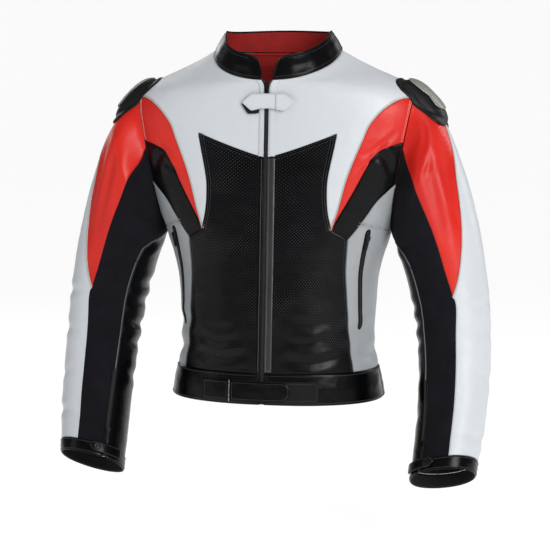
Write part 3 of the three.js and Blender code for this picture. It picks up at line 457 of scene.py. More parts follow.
def build(name, points, faces, materials, where):
    """A smooth mesh object from working points, riding on a body, or kept in place unparented when where is a
    bend.
    """
    mesh = bpy.data.meshes.new(name)
    mesh.from_pydata(row(points).tolist(), [], [tuple(f) for f in faces])
    mesh.validate()
    for material in materials:
        mesh.materials.append(material)
    mesh.polygons.foreach_set("use_smooth", [True] * len(mesh.polygons))
    obj = add_object(name, mesh)
    attach(obj, where)
    return obj


def attach(obj, where):
    if where in BENDS:
        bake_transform(obj)
    else:
        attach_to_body(obj, where)


def bends():
    """Where the sleeve cloth turns: across the armhole plane, and along the sleeve at the elbow."""
    low = np.array([HOLE_LOW_X, MID_Y, HOLE_LOW_Z])
    high = np.array([HOLE_TOP_X, MID_Y, HOLE_TOP_Z])
    out = np.cross([0, 1, 0], high - low)
    out /= np.linalg.norm(out)
    centre = [SLEEVE.at(np.array([0.0, 180.0]), np.full(2, s)).mean(0) for s in (0.42, 0.58)]
    found = {}
    for side, flip in (("left", 1), ("right", -1)):
        mirror = np.array([flip, 1, 1])
        found[f"shoulder_{side}"] = (
            "torso", f"upper_sleeve_{side}", row(low * mirror), row((low + 38 * out) * mirror))
        found[f"elbow_{side}"] = (
            f"upper_sleeve_{side}", f"forearm_{side}", row(centre[0] * mirror), row(centre[1] * mirror))
    return found


BENDS = bends()


def inside(points, polygon):
    """Even-odd test."""
    x, y = points[:, :1], points[:, 1:]
    ax, ay = polygon[:, 0], polygon[:, 1]
    bx, by = np.roll(ax, -1), np.roll(ay, -1)
    rise = np.where(by == ay, 1e-12, by - ay)
    crossing = ((ay > y) != (by > y)) & (x < (bx - ax) * (y - ay) / rise + ax)
    return crossing.sum(1) % 2 == 1


def edge_distance(points, polygons):
    """Distance from each point to the nearest of some closed outlines."""
    return np.min([distance_to_path(points, closed(polygon))[0] for polygon in polygons], 0)


def inset(points, distance):
    """Moves every edge of a closed outline inwards by the same distance."""
    before, after = points - np.roll(points, 1, 0), np.roll(points, -1, 0) - points
    area = (points[:, 0] * np.roll(points[:, 1], -1) - np.roll(points[:, 0], -1) * points[:, 1]).sum()
    before, after = unit(before), unit(after)
    middle = np.stack([-before[:, 1] - after[:, 1], before[:, 0] + after[:, 0]], 1)
    reach = np.sign(area) * distance * 2 / np.maximum((middle**2).sum(1), 0.35)
    return points + middle * reach[:, None]


def resample(polygon, spacing, level=None):
    """Splits long sides, and any side that crosses the level of a cut."""
    result = []
    for p, q in zip(polygon, np.roll(polygon, -1, 0)):
        stops = list(np.linspace(0, 1, max(int(np.ceil(np.linalg.norm(q - p) / spacing)), 1) + 1)[:-1])
        if level is not None and (p[1] - level) * (q[1] - level) < 0:
            stops.append((level - p[1]) / (q[1] - p[1]))
        result += [p + (q - p) * t for t in sorted(stops)]
    return np.array(result)


ROLL_WIDTH = 3.4             # the leather turns down over this width at a seam
PUFF_WIDTH = 22              # and stands up between seams over this one


def seam_roll(gap, depth):
    """The leather's edge turns down into the seam as a quarter round."""
    t = np.clip(1 - gap / ROLL_WIDTH, 0, 1)
    return -depth * (1 - np.sqrt(np.clip(1 - t * t, 0, 1)))


EDGE_SPACING = 3.0           # points along an edge or a cut
EDGE_ROWS = (0.9, 2.1, 3.6)  # rows of points beside an edge, close enough together to show its roll


def flat_mesh(edge, holes, grid, level):
    """Triangles inside a flat outline: rows of points along its edge and an even grid further in."""
    border = resample(edge, EDGE_SPACING, level)
    loops = [border] + [resample(h, EDGE_SPACING) for h in holes]
    spread = list(loops)
    for k, loop in enumerate(loops):
        for d in EDGE_ROWS:
            beside = inset(loop, d if k == 0 else -d)
            spread.append(beside[edge_distance(beside, loops) > 0.9 * d])
    low, high = border.min(0), border.max(0)
    rows_y = np.arange(low[1] + grid / 3, high[1], grid * 0.866)
    columns = np.arange(low[0] + grid / 3, high[0], grid)
    x, y = np.meshgrid(columns, rows_y)
    x = x + (np.arange(len(rows_y)) % 2)[:, None] * grid / 2
    inner = np.stack([x.ravel(), y.ravel()], 1)
    if level is not None:
        across = np.arange(low[0] + 1, high[0], EDGE_SPACING)
        inner = [inner[np.abs(inner[:, 1] - level) > EDGE_SPACING]]
        inner += [level_row(across, level + d) for d in (-2, -0.7, 0.7, 2)]
        inner = np.vstack(inner)
    inner = inner[inside(inner, border)]
    spread.append(inner[edge_distance(inner, loops) > min(5.0, grid * 1.2)])
    sides, start = [], 0
    for loop in loops:
        n = len(loop)
        sides += [(start + i, start + (i + 1) % n) for i in range(n)]
        start += n
    if level is not None:
        cut = level_row(across, level)
        cut = cut[inside(cut, border)]
        cut = cut[edge_distance(cut, loops) > 1.2]
        first = sum(len(s) for s in spread)
        sides += [(first + i, first + i + 1) for i in range(len(cut) - 1)
                  if np.linalg.norm(cut[i + 1] - cut[i]) < 4]
        spread.append(cut)
    points = np.vstack(spread)
    made = delaunay_2d_cdt([Vector(p) for p in points], sides, [], 0, 1e-5, False)
    flat = np.array([[v[0], v[1]] for v in made[0]])
    faces = np.array([f for f in made[2] if len(f) == 3])
    centre = flat[faces].mean(1)
    keep = inside(centre, border)
    for hole in loops[1:]:
        keep &= ~inside(centre, hole)
    return flat, faces[keep], loops


def level_row(across, height):
    return np.stack([across, np.full(len(across), height)], 1)


# materials that stand for another material's slot; panel() looks the slot up but does not use it
SHARED_SLOTS = {"glossy_painted_sheen_strip": "black_leather", "painted_shade_lining": "red_lining", "zip_tape": "zip_coil"}


def panel(name, surface, edge, materials, where, side=1, lift=0.0, thickness=SHELL, roll=0.9, puff=0.5,
          grid=4.2, gap=SEAM_GAP, holes=(), draped=True, shape=None, cut=None, replaces=None, slot=None):
    """A piece of leather or moulding on a surface. where is a body or a bend, or two with a cut between.

    It replaces the node of its own name, or the node named for each of its parts, if there is one.
    """
    flat_edge = inset(edge * surface.scale, gap / 2)
    flat_holes = [inset(h * surface.scale, -gap / 2) for h in holes]
    level = None if cut is None else cut * surface.scale[1]
    flat, faces, loops = flat_mesh(flat_edge, flat_holes, grid, level)
    gaps = edge_distance(flat, loops)
    ab = flat / surface.scale
    height = lift + seam_roll(gaps, roll) + puff * (1 - np.exp(-((gaps / PUFF_WIDTH) ** 2)))
    if shape is not None:
        height = height + shape(ab, gaps)
    points, _ = skin(surface, ab, side, height, draped)
    upright = np.cross(flat[faces[:, 1]] - flat[faces[:, 0]], flat[faces[:, 2]] - flat[faces[:, 0]]) > 0
    flip = upright != (surface.outward * side > 0)
    faces[flip] = faces[flip][:, ::-1]
    if cut is None:
        parts = [(name, faces, where, replaces or name)]
    else:
        above = flat[faces].mean(1)[:, 1] < level
        parts = [(f"{name}_upper", faces[above], where[0], replaces[0]),
                 (f"{name}_lower", faces[~above], where[1], replaces[1])]
    look = materials[0].name.split(".")[0]      # without the number of a name that the frame uses too
    slot = slot or SHARED_SLOTS.get(look, look)
    made = []
    for part_name, chosen, part_where, node in parts:
        used, index = np.unique(chosen, return_inverse=True)
        obj = build(part_name, points[used], index.reshape(-1, 3), materials, part_where)
        dress(obj, flat[used], gaps[used])
        solid = obj.modifiers.new("thickness", "SOLIDIFY")
        solid.thickness = thickness / 1000
        solid.offset = -1
        # back faces and rims take the last material; on lined panels that is the painted shade lining
        solid.material_offset = len(materials) - 1
        solid.material_offset_rim = len(materials) - 1
        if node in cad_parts:
            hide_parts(node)
        made.append(obj)
    return made


def padded_panel(name, *arguments, fill, **settings):
    obj = panel(name, *arguments, **settings)[0]


def patch(*arguments, puff=0, **settings):
    """A piece laid on the leather, cut to its outline."""
    panel(*arguments, puff=puff, gap=0, **settings)


def torso_panel(name, edge, material, side=1, **settings):
    """A lined panel of the torso."""
    panel(name, TORSO, edge, [material, SHADE_LINING], "torso", side, **settings)


def dress(obj, flat, gaps):
    """Stores flat coordinates in metres and the distance to the seam in millimetres; sharpens open edges."""
    mesh = obj.data
    layer = mesh.uv_layers.new(name="cloth")
    corner = np.zeros(len(mesh.loops), int)
    mesh.loops.foreach_get("vertex_index", corner)
    layer.data.foreach_set("uv", (flat[corner] / 1000).ravel())
    distance = mesh.attributes.new("seam_distance", "FLOAT", "POINT")
    distance.data.foreach_set("value", gaps.astype(np.float32))
    border = {}
    for polygon in mesh.polygons:
        for key in polygon.edge_keys:
            border[key] = border.get(key, 0) + 1
    sharp = mesh.attributes.new("sharp_edge", "BOOLEAN", "EDGE")
    sharp.data.foreach_set("value", [border.get(e.key, 0) == 1 for e in mesh.edges])


# ---------- trim: many small pieces in one mesh ----------
class Trim:
    """Collects small solids of one material and one body, and builds them as one object."""

    def __init__(self):
        self.points, self.faces, self.count = [], [], 0

    def add(self, points, faces):
        self.points.append(points)
        self.faces += [tuple(int(i) + self.count for i in f) for f in faces]
        self.count += len(points)

    def build(self, name, material, where, slot):
        obj = build(name, np.vstack(self.points), self.faces, [material], where)


TRIMS = {}


def trim(kind, where):
    return TRIMS.setdefault((kind, where), Trim())


def between_rings(count, sides):
    """Faces between successive rings of points."""
    faces = []
    for start in range(0, (count - 1) * sides, sides):
        for j in range(sides):
            after = (j + 1) % sides
            faces.append((start + j, start + after, start + sides + after, start + sides + j))
    return faces


def tube(points, radius, sides=8):
    """A closed round bar along a line of points, with domed ends."""
    points = np.asarray(points, float)
    way = heading(points)
    side = np.cross(way[0], [0.31, 0.52, 0.79])
    rings = []
    for i, (p, w) in enumerate(zip(points, way)):
        side = side - w * (side @ w)
        side /= np.linalg.norm(side)
        up = np.cross(w, side)
        turn = np.linspace(0, 2 * np.pi, sides, endpoint=False)[:, None]
        size = radius * (0.55 if i in (0, len(points) - 1) else 1.0)
        rings.append(p + size * (np.cos(turn) * side + np.sin(turn) * up))
    tips = [points[:1] - way[:1] * radius * 0.4, points[-1:] + way[-1:] * radius * 0.4]
    vertices = np.vstack(rings + tips)
    first, last = len(vertices) - 2, (len(points) - 1) * sides
    faces = between_rings(len(points), sides)
    faces += [(first, (j + 1) % sides, j) for j in range(sides)]
    faces += [(first + 1, last + j, last + (j + 1) % sides) for j in range(sides)]
    return vertices, faces


def copies(template, origin, x_axis, y_axis, z_axis):
    """One small solid repeated in many frames."""
    vertices, faces = template
    placed = (origin[:, None, :] + vertices[None, :, :1] * x_axis[:, None, :]
              + vertices[None, :, 1:2] * y_axis[:, None, :] + vertices[None, :, 2:] * z_axis[:, None, :])
    n = len(vertices)
    return placed.reshape(-1, 3), [tuple(i + k * n for i in f) for k in range(len(origin)) for f in faces]


THREAD_WIDTH, THREAD_HEIGHT = 0.75, 0.6


def spindle(length, width, height):
    """A thread stitch: a small six-sided bar with pointed ends that dip into the leather."""
    turn = np.linspace(0, 2 * np.pi, 6, endpoint=False)
    section = np.stack([np.zeros(6), width / 2 * np.cos(turn), height / 2 * np.sin(turn)], 1)
    ends = length / 2
    belly = [ends * 0.55, 0, 0]
    vertices = np.vstack([section - belly, section + belly, [[-ends, 0, -0.2], [ends, 0, -0.2]]])
    faces = between_rings(2, 6)
    faces += [(12, (j + 1) % 6, j) for j in range(6)] + [(13, 6 + j, 6 + (j + 1) % 6) for j in range(6)]
    return vertices, faces


def block(x, y, z, bevel):
    """A small block with bevelled corners, for zip teeth."""
    signs = [(-1, -1), (1, -1), (1, 1), (-1, 1)]
    rings = []
    for height, shrink in ((-z / 2, bevel), (-z / 2 + bevel, 0), (z / 2 - bevel, 0), (z / 2, bevel)):
        rings.append([[sx * (x / 2 - shrink), sy * (y / 2 - shrink), height] for sx, sy in signs])
    return np.array(rings).reshape(-1, 3), between_rings(4, 4) + [(3, 2, 1, 0), (12, 13, 14, 15)]


def even(surface, path, pitch):
    """Points at an even spacing in millimetres along a line on a surface."""
    path = path * surface.scale
    steps = np.linalg.norm(np.diff(path, axis=0), axis=1)
    along = np.concatenate([[0], np.cumsum(steps)])
    where = np.arange(pitch / 2, along[-1], pitch)
    return np.stack([np.interp(where, along, column) for column in path.T], 1) / surface.scale


def refined(surface, path):
    """The same line with points every 3 mm."""
    return np.vstack([path[:1], even(surface, path, 3.0), path[-1:]])


def shifted(surface, path, distance):
    """A line parallel to another on the flat leather; positive is to its left."""
    flat = path * surface.scale
    way = heading(flat)
    return (flat + np.stack([-way[:, 1], way[:, 0]], 1) * distance) / surface.scale


def bodies_along(ab, where):
    """Splits a run of places at the sleeve cut."""
    if isinstance(where, str):
        return [(ab, where)]
    above = ab[:, 1] < SLEEVE_CUT
    return [(ab[above], where[0]), (ab[~above], where[1])]


def stitch(kind, surface, path, where, side=1, offsets=(0,), lift=0.12, pitch=3.4, draped=True):
    """Rows of thread along a line, or beside it."""
    for offset in offsets:
        fine = even(surface, shifted(surface, path, offset), pitch)
        for ab, body in bodies_along(fine, where):
            if len(ab) < 2:
                continue
            points, normals = skin(surface, ab, side, lift, draped)
            way = heading(points)
            thread = spindle(pitch * 0.8, THREAD_WIDTH, THREAD_HEIGHT)
            trim(kind, body).add(*copies(thread, points, way, np.cross(normals, way), normals))


def piping(kind, surface, path, where, side=1, radius=0.9, lift=0.1, draped=True):
    """A round cord sewn into a seam."""
    for ab, body in bodies_along(refined(surface, path), where):
        if len(ab) > 2:
            trim(kind, body).add(*tube(skin(surface, ab, side, lift, draped)[0], radius))


def teeth(surface, path, where, side=1, pitch=2.5, lift=0.0, reach=0.95, size=(3.0, 1.4, 1.6), draped=True):
    """Two rows of interlocked zip teeth along a line."""
    places = even(surface, path, pitch / 2)
    for row_number in (0, 1):
        points, normals = skin(surface, places[row_number::2], side, lift, draped)
        way = heading(points)
        across = np.cross(way, normals)
        shift = reach * (1 if row_number else -1)
        tooth = block(*size, bevel=0.3)
        trim("zip_teeth", where).add(*copies(tooth, points + across * shift, across, way, -normals))


def lathe(profile, centre, axis, segments=24):
    """A turned piece about a unit axis; the profile's points are radius and height."""
    side = np.cross(axis, [0.3, 0.4, 0.87])
    side /= np.linalg.norm(side)
    up = np.cross(axis, side)
    turn = np.linspace(0, 2 * np.pi, segments, endpoint=False)[:, None]
    rings = [centre + axis * h + r * (np.cos(turn) * side + np.sin(turn) * up) for r, h in profile]
    last = (len(profile) - 1) * segments
    ends = [tuple(reversed(range(segments))), tuple(range(last, last + segments))]
    return np.vstack(rings), between_rings(len(profile), segments) + ends


# ---------- materials ----------
class Shader:
    """Short names for the nodes that the materials use."""

    def __init__(self, name, roughness, **constants):
        self.material = bpy.data.materials.new(name)
        self.material.use_nodes = True
        self.tree = self.material.node_tree
        self.principled = self.tree.nodes["Principled BSDF"]
        self.principled.inputs["Roughness"].default_value = roughness
        for socket, value in constants.items():
            self.principled.inputs[socket.replace("_", " ")].default_value = value
        self.object = self.tree.nodes.new("ShaderNodeTexCoord").outputs["Object"]
        self.height = None

    def node(self, kind, **settings):
        made = self.tree.nodes.new(kind)
        for key, value in settings.items():
            setattr(made, key, value)
        return made

    def link(self, source, target):
        self.tree.links.new(source, target)
        return target

    def noise(self, scale, detail=3.0, vector=None):
        made = self.node("ShaderNodeTexNoise")
        self.link(vector or self.object, made.inputs["Vector"])
        made.inputs["Scale"].default_value = scale
        made.inputs["Detail"].default_value = detail
        return made.outputs["Fac"]

    def cells(self, scale, vector=None):
        made = self.node("ShaderNodeTexVoronoi", feature="F1")
        self.link(vector or self.object, made.inputs["Vector"])
        made.inputs["Scale"].default_value = scale
        return made.outputs["Distance"]

    def maths(self, operation, a, b=0.0):
        made = self.node("ShaderNodeMath", operation=operation)
        for value, socket in ((a, made.inputs[0]), (b, made.inputs[1])):
            if isinstance(value, (int, float)):
                socket.default_value = value
            else:
                self.link(value, socket)
        return made.outputs[0]

    def remap(self, value, low, high, to_low, to_high):
        made = self.node("ShaderNodeMapRange")
        self.link(value, made.inputs["Value"])
        limits = {"From Min": low, "From Max": high, "To Min": to_low, "To Max": to_high}
        for socket, number in limits.items():
            made.inputs[socket].default_value = number
        return made.outputs["Result"]

    def mix(self, factor, first, second):
        made = self.node("ShaderNodeMix", data_type="RGBA")
        self.link(factor, made.inputs[0])
        for colour, socket in ((first, made.inputs[6]), (second, made.inputs[7])):
            if isinstance(colour, tuple):
                socket.default_value = (*colour, 1)
            else:
                self.link(colour, socket)
        return made.outputs[2]

    def attribute(self, name):
        return self.node("ShaderNodeAttribute", attribute_name=name).outputs["Fac"]

    def cloth(self):
        return self.node("ShaderNodeUVMap", uv_map="cloth").outputs["UV"]

    def vector(self, operation, source, *constants):
        made = self.node("ShaderNodeVectorMath", operation=operation)
        self.link(source, made.inputs[0])
        for socket, value in zip(made.inputs[1:], constants):
            socket.default_value = value
        return made.outputs["Value" if operation == "LENGTH" else "Vector"]

    def drift(self, scale, detail):
        """Patches of large noise, 0 to 1."""
        return self.remap(self.noise(scale, detail), 0.3, 0.7, 0.0, 1.0)

    def bump(self, height, strength, distance):
        made = self.node("ShaderNodeBump")
        made.inputs["Strength"].default_value = strength
        made.inputs["Distance"].default_value = distance
        self.link(height, made.inputs["Height"])
        if self.height is not None:
            self.link(self.height, made.inputs["Normal"])
        self.height = made.outputs["Normal"]

    def finish(self, colour=None, roughness=None):
        if colour is not None:
            self.link(colour, self.principled.inputs["Base Color"])
        if roughness is not None:
            self.link(roughness, self.principled.inputs["Roughness"])
        if self.height is not None:
            self.link(self.height, self.principled.inputs["Normal"])
        return self.material


def linear(hex_colour):
    """A screen colour as linear light."""
    channels = [int(hex_colour[i:i + 2], 16) / 255 for i in (0, 2, 4)]
    return tuple(c / 12.92 if c <= 0.04045 else ((c + 0.055) / 1.055) ** 2.4 for c in channels)


def leather_material(name, colour, dark, roughness, grain, perforated=False, seam_shade=0.6, **constants):
    """Grained leather: soft colour drift, painted shade drawn into the seams, pebbled grain and pores."""
    s = Shader(name, roughness, **constants)
    body = s.mix(s.drift(7, 3), linear(dark), linear(colour))
    # painted shade: within 2.2 mm of a seam the colour darkens to the shadow colour, mottled a little by
    # noise
    painted_seam_shade = s.remap(s.attribute("seam_distance"), 0.0, 2.2, 0.0, 1.0)
    mottled_seam_shade = s.maths("MULTIPLY", painted_seam_shade, s.remap(s.noise(120, 3), 0.25, 0.6, 0.9, 1.0))
    shadow = tuple(seam_shade * c for c in linear(dark))
    shade = s.mix(mottled_seam_shade, shadow, body)
    s.bump(s.noise(130, 4), 0.1, 0.002)
    s.bump(s.cells(760), grain, 0.0005)
    s.bump(s.noise(2400, 2), grain * 0.5, 0.0002)
    rough = s.remap(s.noise(40, 4), 0.3, 0.75, roughness - 0.04, roughness + 0.05)
    if perforated:
        holes = perforation(s)
        caught_light = s.remap(s.noise(11, 2), 0.48, 0.68, 0.0, 1.0)
        shade = s.mix(holes, shade, s.mix(caught_light, (0.022, 0.022, 0.024), (0.1, 0.1, 0.105)))
        rough = s.maths("ADD", rough, s.maths("MULTIPLY", holes, 0.2))
        s.bump(s.maths("SUBTRACT", 1.0, holes), 0.5, 0.0006)
    return s.finish(shade, rough)


def perforation(s, pitch=5.4, radius=0.55, border=6.0):
    """Staggered round holes, kept clear of the seams."""
    found = []
    for shift in (0.0, 0.5):
        scaled = s.vector("MULTIPLY_ADD", s.cloth(), (1000 / pitch, 1000 / pitch, 0), (shift, shift, 0))
        middle = s.vector("SUBTRACT", s.vector("FRACTION", scaled), (0.5, 0.5, 0))
        found.append(s.vector("LENGTH", middle))
    nearest = s.maths("MINIMUM", *found)
    hole = s.remap(nearest, radius / pitch * 0.8, radius / pitch * 1.2, 1.0, 0.0)
    clear = s.remap(s.attribute("seam_distance"), border, border + 0.6, 0.0, 1.0)
    return s.maths("MULTIPLY", hole, clear)


def fabric_material(name, colour, light, roughness, pitch, strength, **constants):
    """Woven or knitted cloth: two crossed rows of threads and a little fuzz."""
    s = Shader(name, roughness, **constants)
    separate = s.node("ShaderNodeSeparateXYZ")
    s.link(s.cloth(), separate.inputs[0])
    waves = []
    for axis, size in (("X", pitch), ("Y", pitch * 1.35)):
        phase = s.maths("MULTIPLY", separate.outputs[axis], 2000 * math.pi / size)
        waves.append(s.maths("SINE", phase))
    weave = s.maths("MULTIPLY", *waves)
    body = s.mix(s.drift(30, 4), linear(colour), linear(light))
    shade = s.mix(s.remap(weave, -1.0, 1.0, 0.0, 0.35), body, tuple(0.4 * c for c in linear(colour)))
    s.bump(weave, strength, 0.0003)
    s.bump(s.noise(1400, 3), strength * 0.6, 0.0003)
    return s.finish(shade)


def plastic_material(name, colour, dark, roughness, texture=0.15, scale=900, **constants):
    """Moulded plastic: fine moulding texture and faint scuffs."""
    s = Shader(name, roughness, **constants)
    scuff = s.remap(s.noise(60, 6), 0.45, 0.75, 0.0, 1.0)
    shade = s.mix(scuff, linear(colour), linear(dark))
    s.bump(s.noise(scale, 2), texture, 0.0003)
    rough = s.remap(s.noise(120, 5), 0.3, 0.7, roughness - 0.06, roughness + 0.1)
    return s.finish(shade, rough)


def metal_material(name, colour, dark, roughness):
    """Dark plated metal with rubbed patches."""
    s = Shader(name, roughness, Metallic=1.0)
    rub = s.remap(s.noise(350, 5), 0.4, 0.7, 0.0, 1.0)
    shade = s.mix(rub, linear(colour), linear(dark))
    s.bump(s.noise(2200, 2), 0.12, 0.0002)
    return s.finish(shade, s.remap(s.noise(500, 3), 0.3, 0.7, roughness - 0.08, roughness + 0.12))


def thread_material(name, colour, light):
    """Twisted sewing thread."""
    s = Shader(name, 0.6)
    shade = s.mix(s.noise(700, 2), linear(colour), linear(light))
    s.bump(s.noise(3000, 1), 0.3, 0.0002)
    return s.finish(shade)


WHITE = leather_material("white_leather", "d3d7db", "cbd0d5", 0.42, 0.14, seam_shade=0.8)
BLACK = leather_material("black_leather", "060709", "040405", 0.21, 0.16, Specular_IOR_Level=0.16)
PERFORATED = leather_material("perforated_leather", "06070a", "040405", 0.25, 0.14, perforated=True,
                              Specular_IOR_Level=0.17)
# black leather with a real higher specular, and a lighter base colour that is painted sheen
GLOSSY_PAINTED_SHEEN = leather_material("glossy_painted_sheen_strip", "141619", "0c0d0f", 0.33, 0.2, Specular_IOR_Level=0.9)
RED = leather_material("red_leather", "e02a1c", "cb1a11", 0.4, 0.16, seam_shade=0.7, Specular_IOR_Level=0.35)
GREY = leather_material("grey_leather", "a6aaad", "9a9ea1", 0.45, 0.14)
CREAM = leather_material("piping", "efe9e2", "e6dfd6", 0.45, 0.1)
STRETCH = fabric_material("stretch_fabric", "0b0b11", "13131b", 0.9, 1.1, 0.35, Specular_IOR_Level=0.2)
LINING = fabric_material("red_lining", "a01512", "b81c18", 0.75, 1.6, 0.4)
# painted shade: a near-black copy of the red lining, for the lining's outer face and the panels' backs and
# rims, so seam gaps and insides look shaded
SHADE_LINING = fabric_material("painted_shade_lining", "0c0c0e", "141416", 0.85, 1.4, 0.3)
LOOP = fabric_material("loop_fabric", "08080a", "111113", 0.98, 0.9, 0.7)
TAPE = fabric_material("zip_tape", "0c0c0e", "151517", 0.8, 0.8, 0.4)
FOAM = plastic_material("foam", "34373b", "2a2c30", 0.9, 0.6, 500)
MOULDED = plastic_material("moulded_black", "0d0e10", "08090a", 0.48, 0.2, Specular_IOR_Level=0.25)
SHELL_GREY = plastic_material("shell_grey", "8b8982", "7d7b74", 0.34, 0.03, 1500)
METAL = metal_material("zip_metal", "3a3a3d", "1c1c1e", 0.32)
TEETH = plastic_material("zip_coil", "151517", "242427", 0.4, 0.1)
TRIM_MATERIALS = {
    "white_thread": thread_material("white_thread", "c4c6c6", "dcdedd"),
    "black_thread": thread_material("black_thread", "2a2b2e", "4a4b4e"),
    "red_thread": thread_material("red_thread", "b8281e", "cf4439"),
    "pale_thread": thread_material("pale_thread", "d8a29a", "ecd2cc"),
    "grey_thread": thread_material("grey_thread", "8f9698", "b5babc"),
    "cream_piping": CREAM,
    "black_piping": BLACK,
    "silver_piping": leather_material("silver_piping", "9a9da0", "7c7f82", 0.35, 0.1),
    "placket_thread": thread_material("placket_thread", "6d6459", "8d8274"),
    "zip_teeth": TEETH,
    "red_binding": LINING,
    # painted shade: a darker grey cord that lies in the pocket seam's groove
    "grey_seam": thread_material("grey_seam", "54585b", "64686b"),
    "keeper": metal_material("keeper_metal", "9a9a9e", "5c5c60", 0.25),
    "snap": METAL,
}
TRIM_SLOTS = {"zip_teeth": "zip_coil", "black_piping": "black_leather"}
SIDES = (("left", 1), ("right", -1))


# ---------- torso ----------
POCKET_SEAM = ([46, 318], [100, 296])


def torso_front(name, side):
    """The wearer's left or right front, from the zip to the side seam."""
    shoulder = line([SHOULDER_LINE, NECK_SEAM], [SHOULDER_LINE, HOLE_TOP_Z], 12)
    neck_corner = zip_edge(NECK_SEAM, NECK_SEAM)[0]
    chest = outline(line(neck_corner, shoulder[0], 30), shoulder, armhole_front(RED_TOP, HOLE_TOP_Z)[::-1],
                    white_to_red, white_to_perforated[::-1], front_top[::-1], zip_edge(FRONT_TOP, NECK_SEAM))
    hem = line([SIDE_FRONT, WAIST_SEAM], zip_corner(WAIST_SEAM), 30)
    centre = outline(front_top, white_to_perforated, front_to_grey, hem, zip_edge(WAIST_SEAM, FRONT_TOP))
    red = outline(white_to_red, red_to_underarm[::-1], armhole_front(RED_BOTTOM, RED_TOP))
    underarm = outline(red_to_underarm[::-1], armhole_front(GREY_TOP, RED_BOTTOM)[::-1], underarm_to_grey)
    grey = outline(underarm_to_grey[::-1], armhole_front(HOLE_LOW_Z, GREY_TOP)[::-1],
                   armhole_back(HOLE_LOW_Z, GREY_TOP), grey_to_black[::-1], grey_to_kidney[::-1],
                   line([SIDE_BACK, WAIST_SEAM], [SIDE_FRONT, WAIST_SEAM], 30), front_to_grey[::-1])
    for piece, edge, material, shape in (
        ("chest_white", chest, WHITE, None), ("front_perforated", centre, PERFORATED, None),
        ("shoulder_red", red, RED, None), ("underarm_perforated", underarm, PERFORATED, None),
        ("side_grey", grey, GREY, pocket_seam_groove),
    ):
        torso_panel(f"{piece}_{name}", edge, material, side, shape=shape)
    torso_seams(side)


def torso_seams(side):
    """Thread and piping of one front; negative offsets lie to the right of a seam's direction."""
    for path, kind, offsets in (
        (white_to_red, "red_thread", (2.8,)), (white_to_red, "white_thread", (-2.8,)),
        (red_to_underarm, "red_thread", (-2.8, -6.0)), (underarm_to_grey, "grey_thread", (2.8, 6.0)),
        (front_to_grey, "black_thread", (-2.8, -6.2)), (white_to_perforated, "black_thread", (-2.8, -6.4)),
        (front_top, "black_thread", (-2.8, -6.4)), (grey_to_black, "black_thread", (-2.8, -6.0)),
        (armhole_front(RED_BOTTOM, RED_TOP), "pale_thread", (2.8, 6.0)),
        (armhole_front(HOLE_LOW_Z, RED_BOTTOM), "black_thread", (2.8,)),
        (line(*POCKET_SEAM, 12), "grey_thread", (2.4, -2.4)),
    ):
        stitch(kind, TORSO, refined(TORSO, path), "torso", side, offsets)
    for path, kind, radius, lift in (
        (white_to_red, "cream_piping", 1.0, 0.1), (white_to_perforated, "black_piping", 0.8, -0.2),
        # the darker grey cord sunk into the pocket seam's groove is painted shade along the seam
        (front_to_grey, "silver_piping", 0.9, 0.0), (line(*POCKET_SEAM, 20), "grey_seam", 0.5, -1.2),
    ):
        piping(kind, TORSO, path, "torso", side, radius, lift)


def pocket_seam_groove(ab, gaps):
    """The leather dips where the seam crosses the grey panel above the pocket."""
    start, end = np.array(POCKET_SEAM, float)
    height = start[1] + (ab[:, 0] - start[0]) * (end[1] - start[1]) / (end[0] - start[0])
    return -1.4 * np.exp(-(((ab[:, 1] - height) / 3.0) ** 2)) * (ab[:, 0] < end[0])


def torso_back():
    shoulder = line([SHOULDER_LINE, NECK_SEAM], [SHOULDER_LINE, HOLE_TOP_Z], 12)
    side = outline(shoulder, armhole_back(GREY_TOP, HOLE_TOP_Z)[::-1])
    neck = line([360 - SHOULDER_LINE, NECK_SEAM], [SHOULDER_LINE, NECK_SEAM], 60)
    torso_panel("back_yoke", outline(side, yoke_hem, other_side(side)[::-1], neck), WHITE)
    black = outline(grey_to_black, yoke_hem, other_side(grey_to_black)[::-1],
                    line(kidney_far_corner, kidney_corner, 40))
    torso_panel("back_black", black, PERFORATED)
    kidney = outline(grey_to_kidney, line(kidney_corner, kidney_far_corner, 40),
                     other_side(grey_to_kidney)[::-1],
                     line([360 - SIDE_BACK, WAIST_SEAM], [SIDE_BACK, WAIST_SEAM], 40))
    torso_panel("back_stretch", kidney, STRETCH, grid=3.2, shape=elastic_ribs)
    stitch("black_thread", TORSO, yoke_hem, "torso", offsets=(-2.8, -6.2))
    stitch("black_thread", TORSO, line(kidney_corner, kidney_far_corner, 60), "torso", offsets=(2.8, 6.2))
    piping("cream_piping", TORSO, yoke_hem, "torso", 1, 0.8, 0.2)


def elastic_ribs(ab, gaps):
    """Soft rows gathered by elastic threads."""
    fade = np.clip((gaps - 3) / 8, 0, 1)
    return 1.5 * fade * (np.abs(np.sin(np.pi * ab[:, 1] / 13)) - 0.5)


def lining():
    """One vest behind the torso panels, open at the front, neck, hem and armholes."""
    hole = outline(armhole_front(HOLE_LOW_Z, HOLE_TOP_Z), armhole_back(HOLE_LOW_Z, HOLE_TOP_Z)[::-1])
    hole = inset(hole * TORSO.scale, -4) / TORSO.scale
    low, high = 32, NECK_SEAM - 0.5
    edge = ring([[4, low], [4, high], [356, high], [356, low]], (60, 120, 60, 120))
    # the outer face, towards the leather, takes the painted shade lining so seam gaps show dark; the inner
    # face is red
    patch("torso_lining", TORSO, edge, [SHADE_LINING, LINING], "torso", lift=-9, thickness=0.9, roll=0, grid=7,
          holes=[hole, other_side(hole)[::-1]], shape=lining_top)


def lining_top(ab, gaps):
    """The lining comes forward to the collar's lining at the neck seam."""
    return 5.2 * ease(np.clip((ab[:, 1] - 588) / 18, 0, 1))


